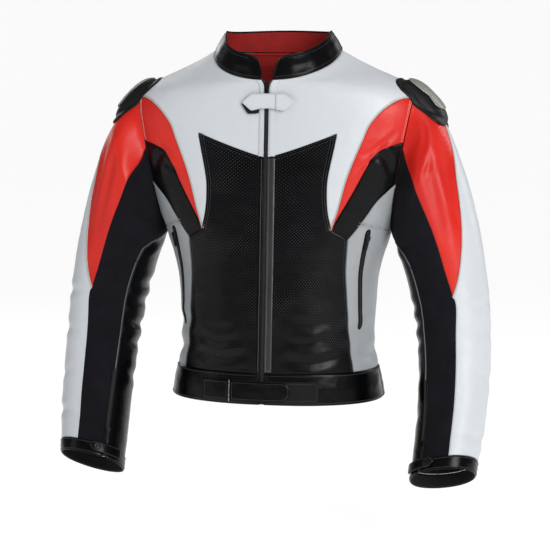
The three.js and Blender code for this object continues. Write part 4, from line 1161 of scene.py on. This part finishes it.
def protector():
    """Ribbed foam plate in the back pocket of the lining."""
    edge = outline(seam([[158, 170], [150, 260], [148, 360], [156, 470]]),
                   seam([[204, 470], [212, 360], [210, 260], [202, 170]]))
    padded_panel("back_protector", TORSO, edge, [FOAM], "torso", fill=0.9, lift=-13, thickness=8, roll=2.5,
                 puff=0, grid=4, gap=1, draped=False, shape=foam_ribs)


def foam_ribs(ab, gaps):
    return -1.6 * np.clip(gaps / 6, 0, 1) * (np.cos(2 * np.pi * ab[:, 1] / 26) > 0.86)


# ---------- waistband, strap and connection zip ----------
BAND_MIDDLE = (HEM + WAIST_SEAM) / 2
BAND = {"fill": 0.3, "lift": 1.6, "roll": 2.2, "puff": 1.2, "thickness": 4}
STRAP = {"low": 21.0, "high": 54.0, "base": -103.0, "keeper": -53.0, "end": 48.0, "pad": 94.0}


def waistband():
    low, high = zip_corner(HEM), zip_corner(WAIST_SEAM)
    side_high, side_low = [SHOULDER_LINE, WAIST_SEAM], [SHOULDER_LINE, HEM]
    edge = ring([low, high, side_high, side_low], (20, 40, 20, 40))
    for name, side in SIDES:
        padded_panel(f"waistband_front_{name}", TORSO, edge, [BLACK, SHADE_LINING], "torso", side, **BAND)
        for path in (line(high, side_high, 60), line(side_low, low, 60)):
            stitch("black_thread", TORSO, path, "torso", side, offsets=(-4.0,), lift=1.9)
    far_high, far_low = [360 - SHOULDER_LINE, WAIST_SEAM], [360 - SHOULDER_LINE, HEM]
    edge = ring([side_low, side_high, far_high, far_low], (20, 80, 20, 80))
    padded_panel("waistband_back", TORSO, edge, [BLACK, SHADE_LINING], "torso", shape=band_rows, **BAND)
    for height in (HEM + 4, BAND_MIDDLE, WAIST_SEAM - 4):
        stitch("black_thread", TORSO, line([92, height], [268, height], 120), "torso", lift=1.7)


def band_rows(ab, gaps):
    """A sewn row along the middle of the back band."""
    return -1.3 * np.exp(-(((ab[:, 1] - BAND_MIDDLE) / 2.2) ** 2)) * np.clip(gaps / 6, 0, 1)


def patch_edge(from_x, to_x, low, high, radius):
    """A patch of the waistband between two distances from the centre front; its far corners are round."""
    corners = [[from_x, high], [from_x, low]]
    for centre_z, start in ((low + radius, -90), (high - radius, 0)):
        for turn in np.radians(np.linspace(start, start + 90, 7)):
            corners.append([to_x - radius + radius * math.cos(turn), centre_z + radius * math.sin(turn)])
    points = resample(np.array(corners), 3)
    return at_x(points[:, 0], points[:, 1])


def waist_strap():
    low, high, base, keeper, end, pad = STRAP.values()
    base_end, pad_start = keeper - 4, keeper + 2
    edge = patch_edge(base, base_end, low - 1, high + 1, 3)
    patch("strap_base", TORSO, edge, [BLACK], "torso", lift=6.0, thickness=3, roll=1.4, puff=0.4)
    edge = patch_edge(pad_start, pad, low - 1, high + 1, 4)
    patch("strap_loop", TORSO, edge, [LOOP], "torso", lift=3.5, thickness=1.1, roll=0.5)
    edge = patch_edge(keeper, end, low, high, 15)
    patch("waist_strap", TORSO, edge, [BLACK, LOOP], "waist_strap", lift=6.6, thickness=2.2, roll=1.0,
          puff=0.3)
    for start, stop, margin, body, radius, lift in (
        (keeper, end, 3.0, "waist_strap", 12, 6.7), (base, base_end, 3.0, "torso", 2, 6.1),
        (pad_start, pad, 2.4, "torso", 3, 3.4),
    ):
        edge = patch_edge(start + margin, stop - margin, low + margin, high - margin, radius)
        stitch("black_thread", TORSO, closed(edge), body, lift=lift, pitch=3.0)
    keeper_bar(keeper - 1.5, low - 2, high + 2)


def keeper_bar(x, low, high):
    """The metal loop that the strap turns through."""
    ab = at_x(np.full(12, x), np.linspace(low, high, 12))
    trim("keeper", "torso").add(*tube(skin(TORSO, ab, 1, 7.2)[0], 1.3, 10))


def trouser_zip():
    """The zip half inside the back hem that joins the trousers: tape and teeth."""
    edge = outline(line([130, 5], [230, 5], 60), line([230, 27], [130, 27], 60))
    patch("trouser_zip", TORSO, edge, [TAPE], "torso", lift=-5, thickness=1.6, roll=0.2, grid=5, draped=False)
    teeth(TORSO, line([131, 6.2], [229, 6.2], 60), "torso", lift=-4.6, reach=0.0, size=(2.2, 1.3, 1.6),
          draped=False)


# ---------- front zip, plackets and neck tab ----------
NECK_TAB = {"left": -42.0, "right": 51.0, "low": 505.0, "high": 534.0, "fold": 16.0}


def plackets():
    """Facing strips beside the zip: white above the dip of the black panels, black below it."""
    # only the wearer's left strip, which faces the key light, takes the painted sheen leather
    for name, side, wide, low_leather in (("left", 1, 16.0, GLOSSY_PAINTED_SHEEN), ("right", -1, 12.5, BLACK)):
        for part, low, high, material, thread in (
            ("top", FRONT_TOP + 1.5, NECK_SEAM - 2, WHITE, "white_thread"),
            ("low", WAIST_SEAM + 2.0, FRONT_TOP - 1.5, low_leather, "placket_thread"),
        ):
            edge = outline(zip_edge(low, high, 0.2)[::-1], zip_edge(low, high, wide - ZIP_GAP))
            patch(f"placket_{part}_{name}", TORSO, edge, [material], "torso", side, lift=1.7, thickness=1.5,
                  roll=1.0, grid=3.4, replaces=f"placket_{name}")
            stitch(thread, TORSO, zip_edge(low + 2, high - 2, 3.0), "torso", side, lift=1.8)


def front_zip():
    """Teeth closed up to the slider, and parting above it, on their woven tapes."""
    down = np.linspace(ZIP_TOP, HEM + 1, 60)
    edge = outline(at_x(np.full(60, -6.5), down), at_x(np.full(60, 6.5), down[::-1]))
    patch("front_zip", TORSO, edge, [TAPE], "torso", lift=-0.9, thickness=0.8, roll=0, grid=4,
          slot="zip_metal")
    teeth(TORSO, at_x(np.zeros(120), np.linspace(HEM + 2, ZIP_TOP - 12, 120)), "torso")
    start = ZIP_TOP - 8
    for name, side in SIDES:
        edge = outline(zip_edge(start, NECK_SEAM - 1, -2.4, 16)[::-1], zip_edge(start, NECK_SEAM - 1, 3, 16))
        patch(f"zip_tape_{name}", TORSO, edge, [TAPE], "torso", side, lift=-0.8, thickness=0.8, roll=0,
              grid=3)
        teeth(TORSO, zip_edge(start, NECK_SEAM - 2, -2.6, 30), "torso", side, reach=0.2, size=(2.4, 1.4, 1.6))


def rounded(corners, radius):
    """A closed outline with its corners rounded."""
    points = np.array(corners, float)
    result = []
    for i, p in enumerate(points):
        ways = points[i - 1] - p, points[(i + 1) % len(points)] - p
        lengths = [np.linalg.norm(way) for way in ways]
        size = min(radius, lengths[0] / 2.1, lengths[1] / 2.1)
        start, end = (p + way / length * size for way, length in zip(ways, lengths))
        for t in np.linspace(0, 1, 6):
            result.append((1 - t) ** 2 * start + 2 * t * (1 - t) * p + t * t * end)
    return np.array(result)


def neck_tab():
    left, right, low, high, fold = NECK_TAB.values()
    middle = (low + high) / 2
    free = rounded([[left, middle], [left + 17, low], [-9, low + 4], [9, low + 4], [fold - 0.2, low + 2],
                    [fold - 0.2, high], [left + 17, high]], 4)
    sewn = rounded([[fold + 0.2, low + 2], [right - 18, low], [right, middle], [right - 18, high],
                    [fold + 0.2, high]], 4)
    for name, edge, materials, body, thickness in (("neck_tab", free, [WHITE, LOOP], "neck_tab", 2.2),
                                                   ("neck_tab_base", sewn, [WHITE], "torso", 5.6)):
        patch(name, FRONT, edge, materials, body, lift=8, thickness=thickness, roll=1.1, puff=0.5, grid=2.8,
              draped=False)
        stitch("white_thread", FRONT, closed(inset(resample(edge, 2), 2.6)), body, lift=8.1, pitch=2.8,
               draped=False)
    loop = rounded([[left, low + 11], [-31, low - 5], [-12, low - 4], [-12, low + 12], [left, low + 12]], 3)
    patch("neck_tab_loop", FRONT, loop, [LOOP], "torso", lift=4.6, thickness=3, roll=0.6, puff=0.2, grid=3,
          draped=False)


# ---------- collar ----------
def collar_edge(start):
    height = COLLAR_HEIGHT
    ends = seam([[start, 0], [start + 2.4, height * 0.45], [start + 7, height * 0.85], [start + 15, height]])
    return outline(ends, line([start + 15, height], [345 - start, height], 90), other_side(ends)[::-1],
                   line([360 - start, 0], [start, 0], 90))


def collar_band():
    start = angle_at(np.array([9.5]), np.array([float(NECK_SEAM)]))[0]
    edge = collar_edge(start)
    padded_panel("collar", COLLAR, edge, [BLACK], "torso", fill=0.4, lift=2.2, thickness=2.6, roll=1.4,
                 puff=1.6, gap=0, grid=3.2, shape=collar_drape, draped=False)
    inner_edge = inset(edge * COLLAR.scale, 1.2) / COLLAR.scale
    patch("collar_lining", COLLAR, inner_edge, [SHADE_LINING, LINING], "torso", lift=-0.5, thickness=0.9,
          roll=0, grid=5, draped=False)
    rim = edge[edge[:, 1] > 0.4]
    for kind, surface, path, radius, lift in (
        ("black_piping", COLLAR, line([start + 0.5, 0], [359.5 - start, 0], 200), 1.7, -0.2),
        ("black_piping", COLLAR, rim[np.argsort(rim[:, 0])], 1.5, 0.9),
        ("red_binding", TORSO, line([14, NECK_SEAM + 0.5], [346, NECK_SEAM + 0.5], 200), 1.7, -3.4),
    ):
        piping(kind, surface, path, "torso", 1, radius, lift, draped=False)
    for inwards, height, lift in ((16, COLLAR_HEIGHT - 5, 2.9), (2, 3.2, 2.6)):
        path = line([start + inwards, height], [360 - inwards - start, height], 200)
        stitch("black_thread", COLLAR, path, "torso", lift=lift, draped=False)


def collar_drape(ab, gaps):
    """Shallow upright dents where the band bends round the neck."""
    fade, turn = np.clip(gaps / 9, 0, 1), np.radians(ab[:, 0])
    return fade * (0.5 * np.sin(turn * 7 + 1) + 0.25 * np.sin(turn * 19))


# ---------- sleeves ----------
def sleeve_panels(name, side):
    """Four lined panels round the arm, each cut into an upper and a lower half."""
    where = (f"shoulder_{name}", f"elbow_{name}")
    front, under_start, back = 103, 52, -70      # angles of the seams at the cuff
    ridge = line([180, RIDGE_END], [180, 0], 12)
    red = outline(red_inner, red_outer, ridge, line([180, 0], [100, 0], 30))
    white = outline(ridge[::-1], red_outer[::-1], forearm_front,
                    line([front, CUFF_SEAM], [back + 360, CUFF_SEAM], 50), back_seam[::-1] + [360, 0],
                    line([270, 0], [180, 0], 30))
    stretch = outline(red_inner, forearm_front, line([front, CUFF_SEAM], [under_start, CUFF_SEAM], 20),
                      leather_edge[::-1], line([-26, 0], [100, 0], 40))
    under = outline(leather_edge, line([under_start, CUFF_SEAM], [back, CUFF_SEAM], 40), back_seam[::-1],
                    line([-90, 0], [-26, 0], 20))
    for piece, edge, material, upper, lower in (
        ("sleeve_red", red, RED, "sleeve_red", "sleeve_red"),
        ("sleeve_white", white, WHITE, "sleeve_white_upper", "sleeve_white_lower"),
        ("sleeve_stretch", stretch, STRETCH, "sleeve_stretch_upper", "sleeve_stretch_lower"),
        ("sleeve_under", under, BLACK, "sleeve_stretch_upper", "sleeve_under_lower"),
    ):
        panel(f"{piece}_{name}", SLEEVE, edge, [material, SHADE_LINING], where, side, cut=SLEEVE_CUT,
              replaces=(f"{upper}_{name}", f"{lower}_{name}"))
    for path, kind, offset in (
        (red_outer, "white_thread", 2.8), (red_outer, "red_thread", -2.8), (red_inner, "red_thread", -2.8),
        (leather_edge, "black_thread", 2.8), (back_seam, "white_thread", 2.8),
        (forearm_front, "white_thread", -2.8),
    ):
        stitch(kind, SLEEVE, path, where, side, (offset,))
    for path, kind, radius, lift in (
        (red_outer, "cream_piping", 1.1, 0.1), (leather_edge, "silver_piping", 0.9, 0.1),
        (back_seam, "cream_piping", 0.9, 0.0),
    ):
        piping(kind, SLEEVE, path, where, side, radius, lift)


# ---------- cuffs ----------
ZIP_ANGLE = 52
CUFF_SLIT = 3.6              # half the slit at the forearm zip, in degrees
CUFF_TAB = {"from": 20, "to": 74, "middle": 0.972, "half": 0.017}
SNAP_PROFILE = [(0.4, -0.6), (6.2, -0.6), (6.2, 0.6), (5.6, 1.3), (4.9, 1.3), (4.4, 0.8), (3.6, 0.9),
                (2.2, 1.5), (0.3, 1.7)]


def cuff(name, side):
    """Padded band with a slit, and the snap tab that closes it."""
    body, tab = f"forearm_{name}", f"cuff_tab_{name}"
    near, far = ZIP_ANGLE + CUFF_SLIT, ZIP_ANGLE + 360 - CUFF_SLIT
    edge = outline(line([near, CUFF_SEAM], [far, CUFF_SEAM], 120), line([far, 1], [near, 1], 120))
    padded_panel(f"cuff_band_{name}", SLEEVE, edge, [BLACK, SHADE_LINING], body, side, fill=0.4, lift=1.0,
                 thickness=3.2, roll=1.8, puff=1.4, grid=3.2)
    for place in (CUFF_SEAM + 0.006, 0.993):
        row_path = line([ZIP_ANGLE + 6, place], [ZIP_ANGLE + 354, place], 160)
        stitch("black_thread", SLEEVE, row_path, body, side, lift=1.3)
    start, end, middle, half = CUFF_TAB.values()
    corners = np.array([[start, middle - half], [start, middle + half], [end, middle + half],
                        [end + 7, middle], [end, middle - half]])
    tip = rounded(corners * SLEEVE.scale, 5)
    patch(tab, SLEEVE, tip / SLEEVE.scale, [BLACK], tab, side, lift=5.6, thickness=2, roll=1.0, puff=0.4,
          grid=2.6, draped=False)
    inner = inset(resample(tip, 2), 2.4) / SLEEVE.scale
    stitch("black_thread", SLEEVE, closed(inner), tab, side, lift=5.7, pitch=2.8, draped=False)
    centre, out = skin(SLEEVE, np.array([[end - 8.0, middle]]), side, 5.4, False)
    trim("snap", tab).add(*lathe(SNAP_PROFILE, centre[0], out[0]))


def coil(surface, path, where, side, lift):
    """The fine teeth of a pocket or forearm zip."""
    teeth(surface, path, where, side, pitch=1.9, lift=lift, reach=0.6, size=(2.0, 1.0, 1.1))


def forearm_zip(name, side):
    """Coil zip from the forearm down through the cuff."""
    body = f"forearm_{name}"
    path = line([45.5, 0.7], [ZIP_ANGLE, 0.995], 60)
    strip = outline(shifted(SLEEVE, path, 3.4), shifted(SLEEVE, path, -3.4)[::-1])
    patch(f"forearm_zip_{name}", SLEEVE, strip, [TAPE], body, side, lift=1.5, thickness=0.9, roll=0.4, grid=3)
    coil(SLEEVE, path, body, side, 1.4)
    for distance in (-4.4, 4.4):
        piping("black_piping", SLEEVE, shifted(SLEEVE, path, distance), body, side, 1.1, 0.5)


# ---------- pockets ----------
def pocket(name, side):
    """Welted hand pocket with a coil zip."""
    path = line([56, 302], [65, 144], 60)
    strip, welt, sewing = (stadium(TORSO, path, half) for half in (5.0, 5.6, 9.5))
    patch(f"pocket_zip_{name}", TORSO, strip, [TAPE], "torso", side, lift=1.6, thickness=1.2, roll=0.6,
          grid=3)
    coil(TORSO, path, "torso", side, 1.3)
    piping("black_piping", TORSO, np.vstack([welt, welt[:2]]), "torso", side, 1.4, 0.3)
    stitch("grey_thread", TORSO, closed(sewing), "torso", side, lift=0.35)


def stadium(surface, path, half):
    """An outline with round ends at one distance from a line."""
    flat = path * surface.scale
    way = flat[-1] - flat[0]
    towards = math.atan2(way[1], way[0])
    ends = []
    for centre, start in ((flat[-1], towards - math.pi / 2), (flat[0], towards + math.pi / 2)):
        for turn in np.linspace(start, start + math.pi, 10):
            ends.append(centre + half * np.array([math.cos(turn), math.sin(turn)]))
    return resample(np.array(ends), 3) / surface.scale


# ---------- shoulder armour ----------
CUP = {"centre": np.array([235.0, 19.0, 502.0]), "half": np.array([59.0, 45.0, 41.0]), "turn": 46}
DOME_SCALE = 50              # millimetres of flat drawing for each radian from the top of the dome
DOME_POWER = np.array([2.8, 3.6, 2.2])


def dome(a, b):
    """Point of the armour's blunt dome; a runs down the shoulder and b towards the back."""
    tilt = np.hypot(a, b) / DOME_SCALE
    turn = np.arctan2(b, a)
    way = np.stack([np.sin(tilt) * np.cos(turn), np.sin(tilt) * np.sin(turn), np.cos(tilt)], 1)
    near, far = np.full(len(way), 5.0), np.full(len(way), 150.0)
    for _ in range(36):      # halving the gap until it is a fraction of a nanometre
        middle = (near + far) / 2
        outside = ((np.abs(way) * middle[:, None] / CUP["half"]) ** DOME_POWER).sum(1) > 1
        near, far = np.where(outside, near, middle), np.where(outside, middle, far)
    local = way * near[:, None]
    lean = math.radians(CUP["turn"])
    x = local[:, 0] * math.cos(lean) + local[:, 2] * math.sin(lean)
    z = -local[:, 0] * math.sin(lean) + local[:, 2] * math.cos(lean)
    return np.stack([x, local[:, 1], z], 1) + CUP["centre"]


DOME = Surface(dome, [1, 1], [0.5, 0.5], [-400, 400])
TOUCHES = 1.6                # the dome has met the leather when it is this near
SKIRT_CLEARANCE = 2.2        # the base's skirt lies this far above the plain leather


def leather_tree():
    """The leather that the armour rests on, for measuring against."""
    points, faces = [], []
    for surface, a_range, b_range in ((TORSO, (20, 160), (430, 606)), (SLEEVE, (0, 360), (0.0, 0.36))):
        a, b = np.meshgrid(np.linspace(*a_range, 90), np.linspace(*b_range, 60))
        found = surface.frame(np.stack([a.ravel(), b.ravel()], 1))[0]
        start = sum(len(p) for p in points)
        if surface is TORSO:
            shown = (found[:, 0] < armhole_x(found[:, 2]) + 2).reshape(a.shape)
        else:
            shown = np.ones(a.shape, bool)
        columns = a.shape[1]
        whole = shown[:-1, :-1] & shown[1:, :-1] & shown[:-1, 1:] & shown[1:, 1:]
        for i, j in np.argwhere(whole).tolist():
            k = start + i * columns + j
            faces.append((k, k + 1, k + columns + 1, k + columns))
        points.append(found)
    return BVHTree.FromPolygons([Vector(p) for p in np.vstack(points)], faces)


def armour_edge(tree):
    """Where the dome meets the leather, all the way round, with a skirt that spreads on the arm."""
    tilts = np.radians(np.arange(30, 128, 0.5))
    edge = []
    for turn in np.radians(np.arange(0, 360, 5)):
        way = np.array([math.cos(turn), math.sin(turn)]) * DOME_SCALE
        reach = next((tilt for tilt, p in zip(tilts, dome(tilts * way[0], tilts * way[1]))
                      if tree.find_nearest(Vector(p))[3] < TOUCHES), tilts[-1])
        from_arm = abs((math.degrees(turn) + 180) % 360 - 180)
        skirt = 0.17 * math.exp(-(((from_arm - 48) / 28) ** 2))
        inner_end = 0.07 * (from_arm > 120)
        edge.append(reach * (1.03 + skirt + inner_end) * way)
    edge = np.array(edge)
    edge[:, 0] = np.minimum(edge[:, 0], 1.08 * edge[0, 0])      # the lower edge is cut nearly straight
    for _ in range(3):
        edge = (np.roll(edge, 1, 0) + 2 * edge + np.roll(edge, -1, 0)) / 4
    return edge


def base_shape(tree, ab, gaps):
    """The skirt rests on the leather; a raised bead runs round it, with a shallow step above."""
    sunk = np.zeros(len(ab))
    for i, (point, normal) in enumerate(zip(*DOME.frame(ab))):
        nearest, facing, _, _ = tree.find_nearest(Vector(point))
        if facing.dot(Vector(normal)) < 0:
            facing = -facing
        clear = (Vector(point) - nearest).dot(facing)
        sunk[i] = max(SKIRT_CLEARANCE - clear, 0) / max(facing.dot(Vector(normal)), 0.5)
    bead = 0.8 * np.exp(-(((gaps - 3.2) / 1.7) ** 2))
    step = 1.0 * np.clip((gaps - 9) / 2.5, 0, 1)
    return np.minimum(sunk, 16) + bead + step


def armour(name, side, edge, tree):
    """A moulded cup on the shoulder, and the hard slider shell on top of it."""
    body = f"upper_sleeve_{name}"
    patch(f"armour_base_{name}", DOME, edge, [MOULDED], body, side, lift=0.2, thickness=3, roll=1.6, grid=2.6,
          draped=False, shape=partial(base_shape, tree))
    half = [[-48, 15], [-41, 26], [-30, 32], [-16, 34], [-3, 32], [10, 34], [21, 33], [29, 25], [33, 11]]
    curve = seam([[-50, 0]] + half + [[34, 0]], 6)
    shell = outline(curve[::-1], curve[1:] * [1, -1])
    patch(f"armour_shell_{name}", DOME, shell, [SHELL_GREY], body, side, lift=4.2, thickness=2.8, roll=1.7,
          puff=0.6, grid=2.8, draped=False)


# ---------- metal parts that keep their CAD shape ----------
def finish_metal():
    paired = [f"{kind}_slider_{name}" for kind in ("pocket", "forearm") for name, _ in SIDES]
    for node in ["front_slider", "front_pull"] + paired:
        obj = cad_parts[node]
        obj.data.materials.clear()
        obj.data.materials.append(METAL)
        bevel = obj.modifiers.new("edges", "BEVEL")
        bevel.width = 0.0004
        bevel.segments = 3
        bevel.limit_method = "ANGLE"


# ---------- stage ----------
def camera():
    """The photographed view: 13 degrees round to the wearer's left and 6.5 up, with a long lens."""
    azimuth, elevation, distance = math.radians(13), math.radians(6.5), 3.2
    aim = Vector((0, -0.014, -0.355))
    back = Vector((math.sin(azimuth) * math.cos(elevation), -math.cos(azimuth) * math.cos(elevation),
                   math.sin(elevation)))
    data = bpy.data.cameras.new("camera")
    data.lens, data.sensor_width = 121.5, 36
    data.shift_x, data.shift_y = -0.0036, -0.0036
    obj = add_object("camera", data)
    obj.location = aim + back * distance
    obj.rotation_euler = (-back).to_track_quat("-Z", "Y").to_euler()
    bpy.context.scene.camera = obj


def softbox(name, place, aim, width, height, power):
    data = bpy.data.lights.new(name, "AREA")
    data.shape, data.size, data.size_y = "RECTANGLE", width, height
    data.energy = power
    obj = add_object(name, data)
    obj.location = place
    obj.rotation_euler = (Vector(aim) - Vector(place)).to_track_quat("-Z", "Y").to_euler()


def studio():
    """A soft key from the wearer's left, weaker lights round it, and white all about."""
    centre = (0, 0, -0.35)
    for name, place, width, height, power in (
        ("key", (2.0, -2.4, 0.9), 1.2, 1.7, 64), ("fill", (-2.6, -1.9, 0.5), 1.0, 1.8, 6),
        ("top", (0.2, -0.9, 2.2), 1.6, 1.2, 10), ("back_left", (-1.8, 1.9, 0.9), 0.9, 1.8, 14),
        ("back_right", (1.9, 1.8, 0.8), 0.9, 1.8, 16),
    ):
        softbox(name, place, centre, width, height, power)
    white_world(lit=0.22, seen=0.955)
    floor()


def white_world(lit, seen):
    """White to the camera, and a weaker even light to everything else."""
    world = bpy.data.worlds.new("studio")
    bpy.context.scene.world = world
    world.use_nodes = True
    tree = world.node_tree
    strength = tree.nodes.new("ShaderNodeMapRange")
    tree.links.new(tree.nodes.new("ShaderNodeLightPath").outputs["Is Camera Ray"], strength.inputs["Value"])
    strength.inputs["To Min"].default_value = lit
    strength.inputs["To Max"].default_value = seen
    tree.nodes["Background"].inputs["Color"].default_value = (1, 1, 1, 1)
    tree.links.new(strength.outputs["Result"], tree.nodes["Background"].inputs["Strength"])
    bpy.context.scene.view_settings.view_transform = "Standard"


def floor():
    """A round white floor below the jacket, as bright as the world behind it."""
    height, radius, sides = cad_box[0][2] - 0.12, 9, 64
    turns = np.linspace(0, 2 * math.pi, sides, endpoint=False)
    rim = [(radius * math.cos(t), radius * math.sin(t), height) for t in turns]
    mesh = bpy.data.meshes.new("floor")
    mesh.from_pydata(rim, [], [tuple(range(sides))])
    s = Shader("floor", 0.8, Emission_Strength=0.91, Emission_Color=(1, 1, 1, 1), Specular_IOR_Level=0.1)
    mesh.materials.append(s.finish(s.mix(s.noise(2, 2), (0.16, 0.16, 0.16), (0.18, 0.18, 0.18))))
    add_object("floor", mesh)


# ---------- assembly ----------
camera()
studio()
torso_back()
lining()
protector()
waistband()
waist_strap()
trouser_zip()
plackets()
front_zip()
neck_tab()
collar_band()
leather = leather_tree()
cup_edge = armour_edge(leather)
for side_name, side_sign in SIDES:
    torso_front(side_name, side_sign)
    sleeve_panels(side_name, side_sign)
    cuff(side_name, side_sign)
    forearm_zip(side_name, side_sign)
    pocket(side_name, side_sign)
    armour(side_name, side_sign, cup_edge, leather)
finish_metal()
for (kind, body), collected in TRIMS.items():
    collected.build(f"{kind}_{body}", TRIM_MATERIALS[kind], body, TRIM_SLOTS.get(kind))
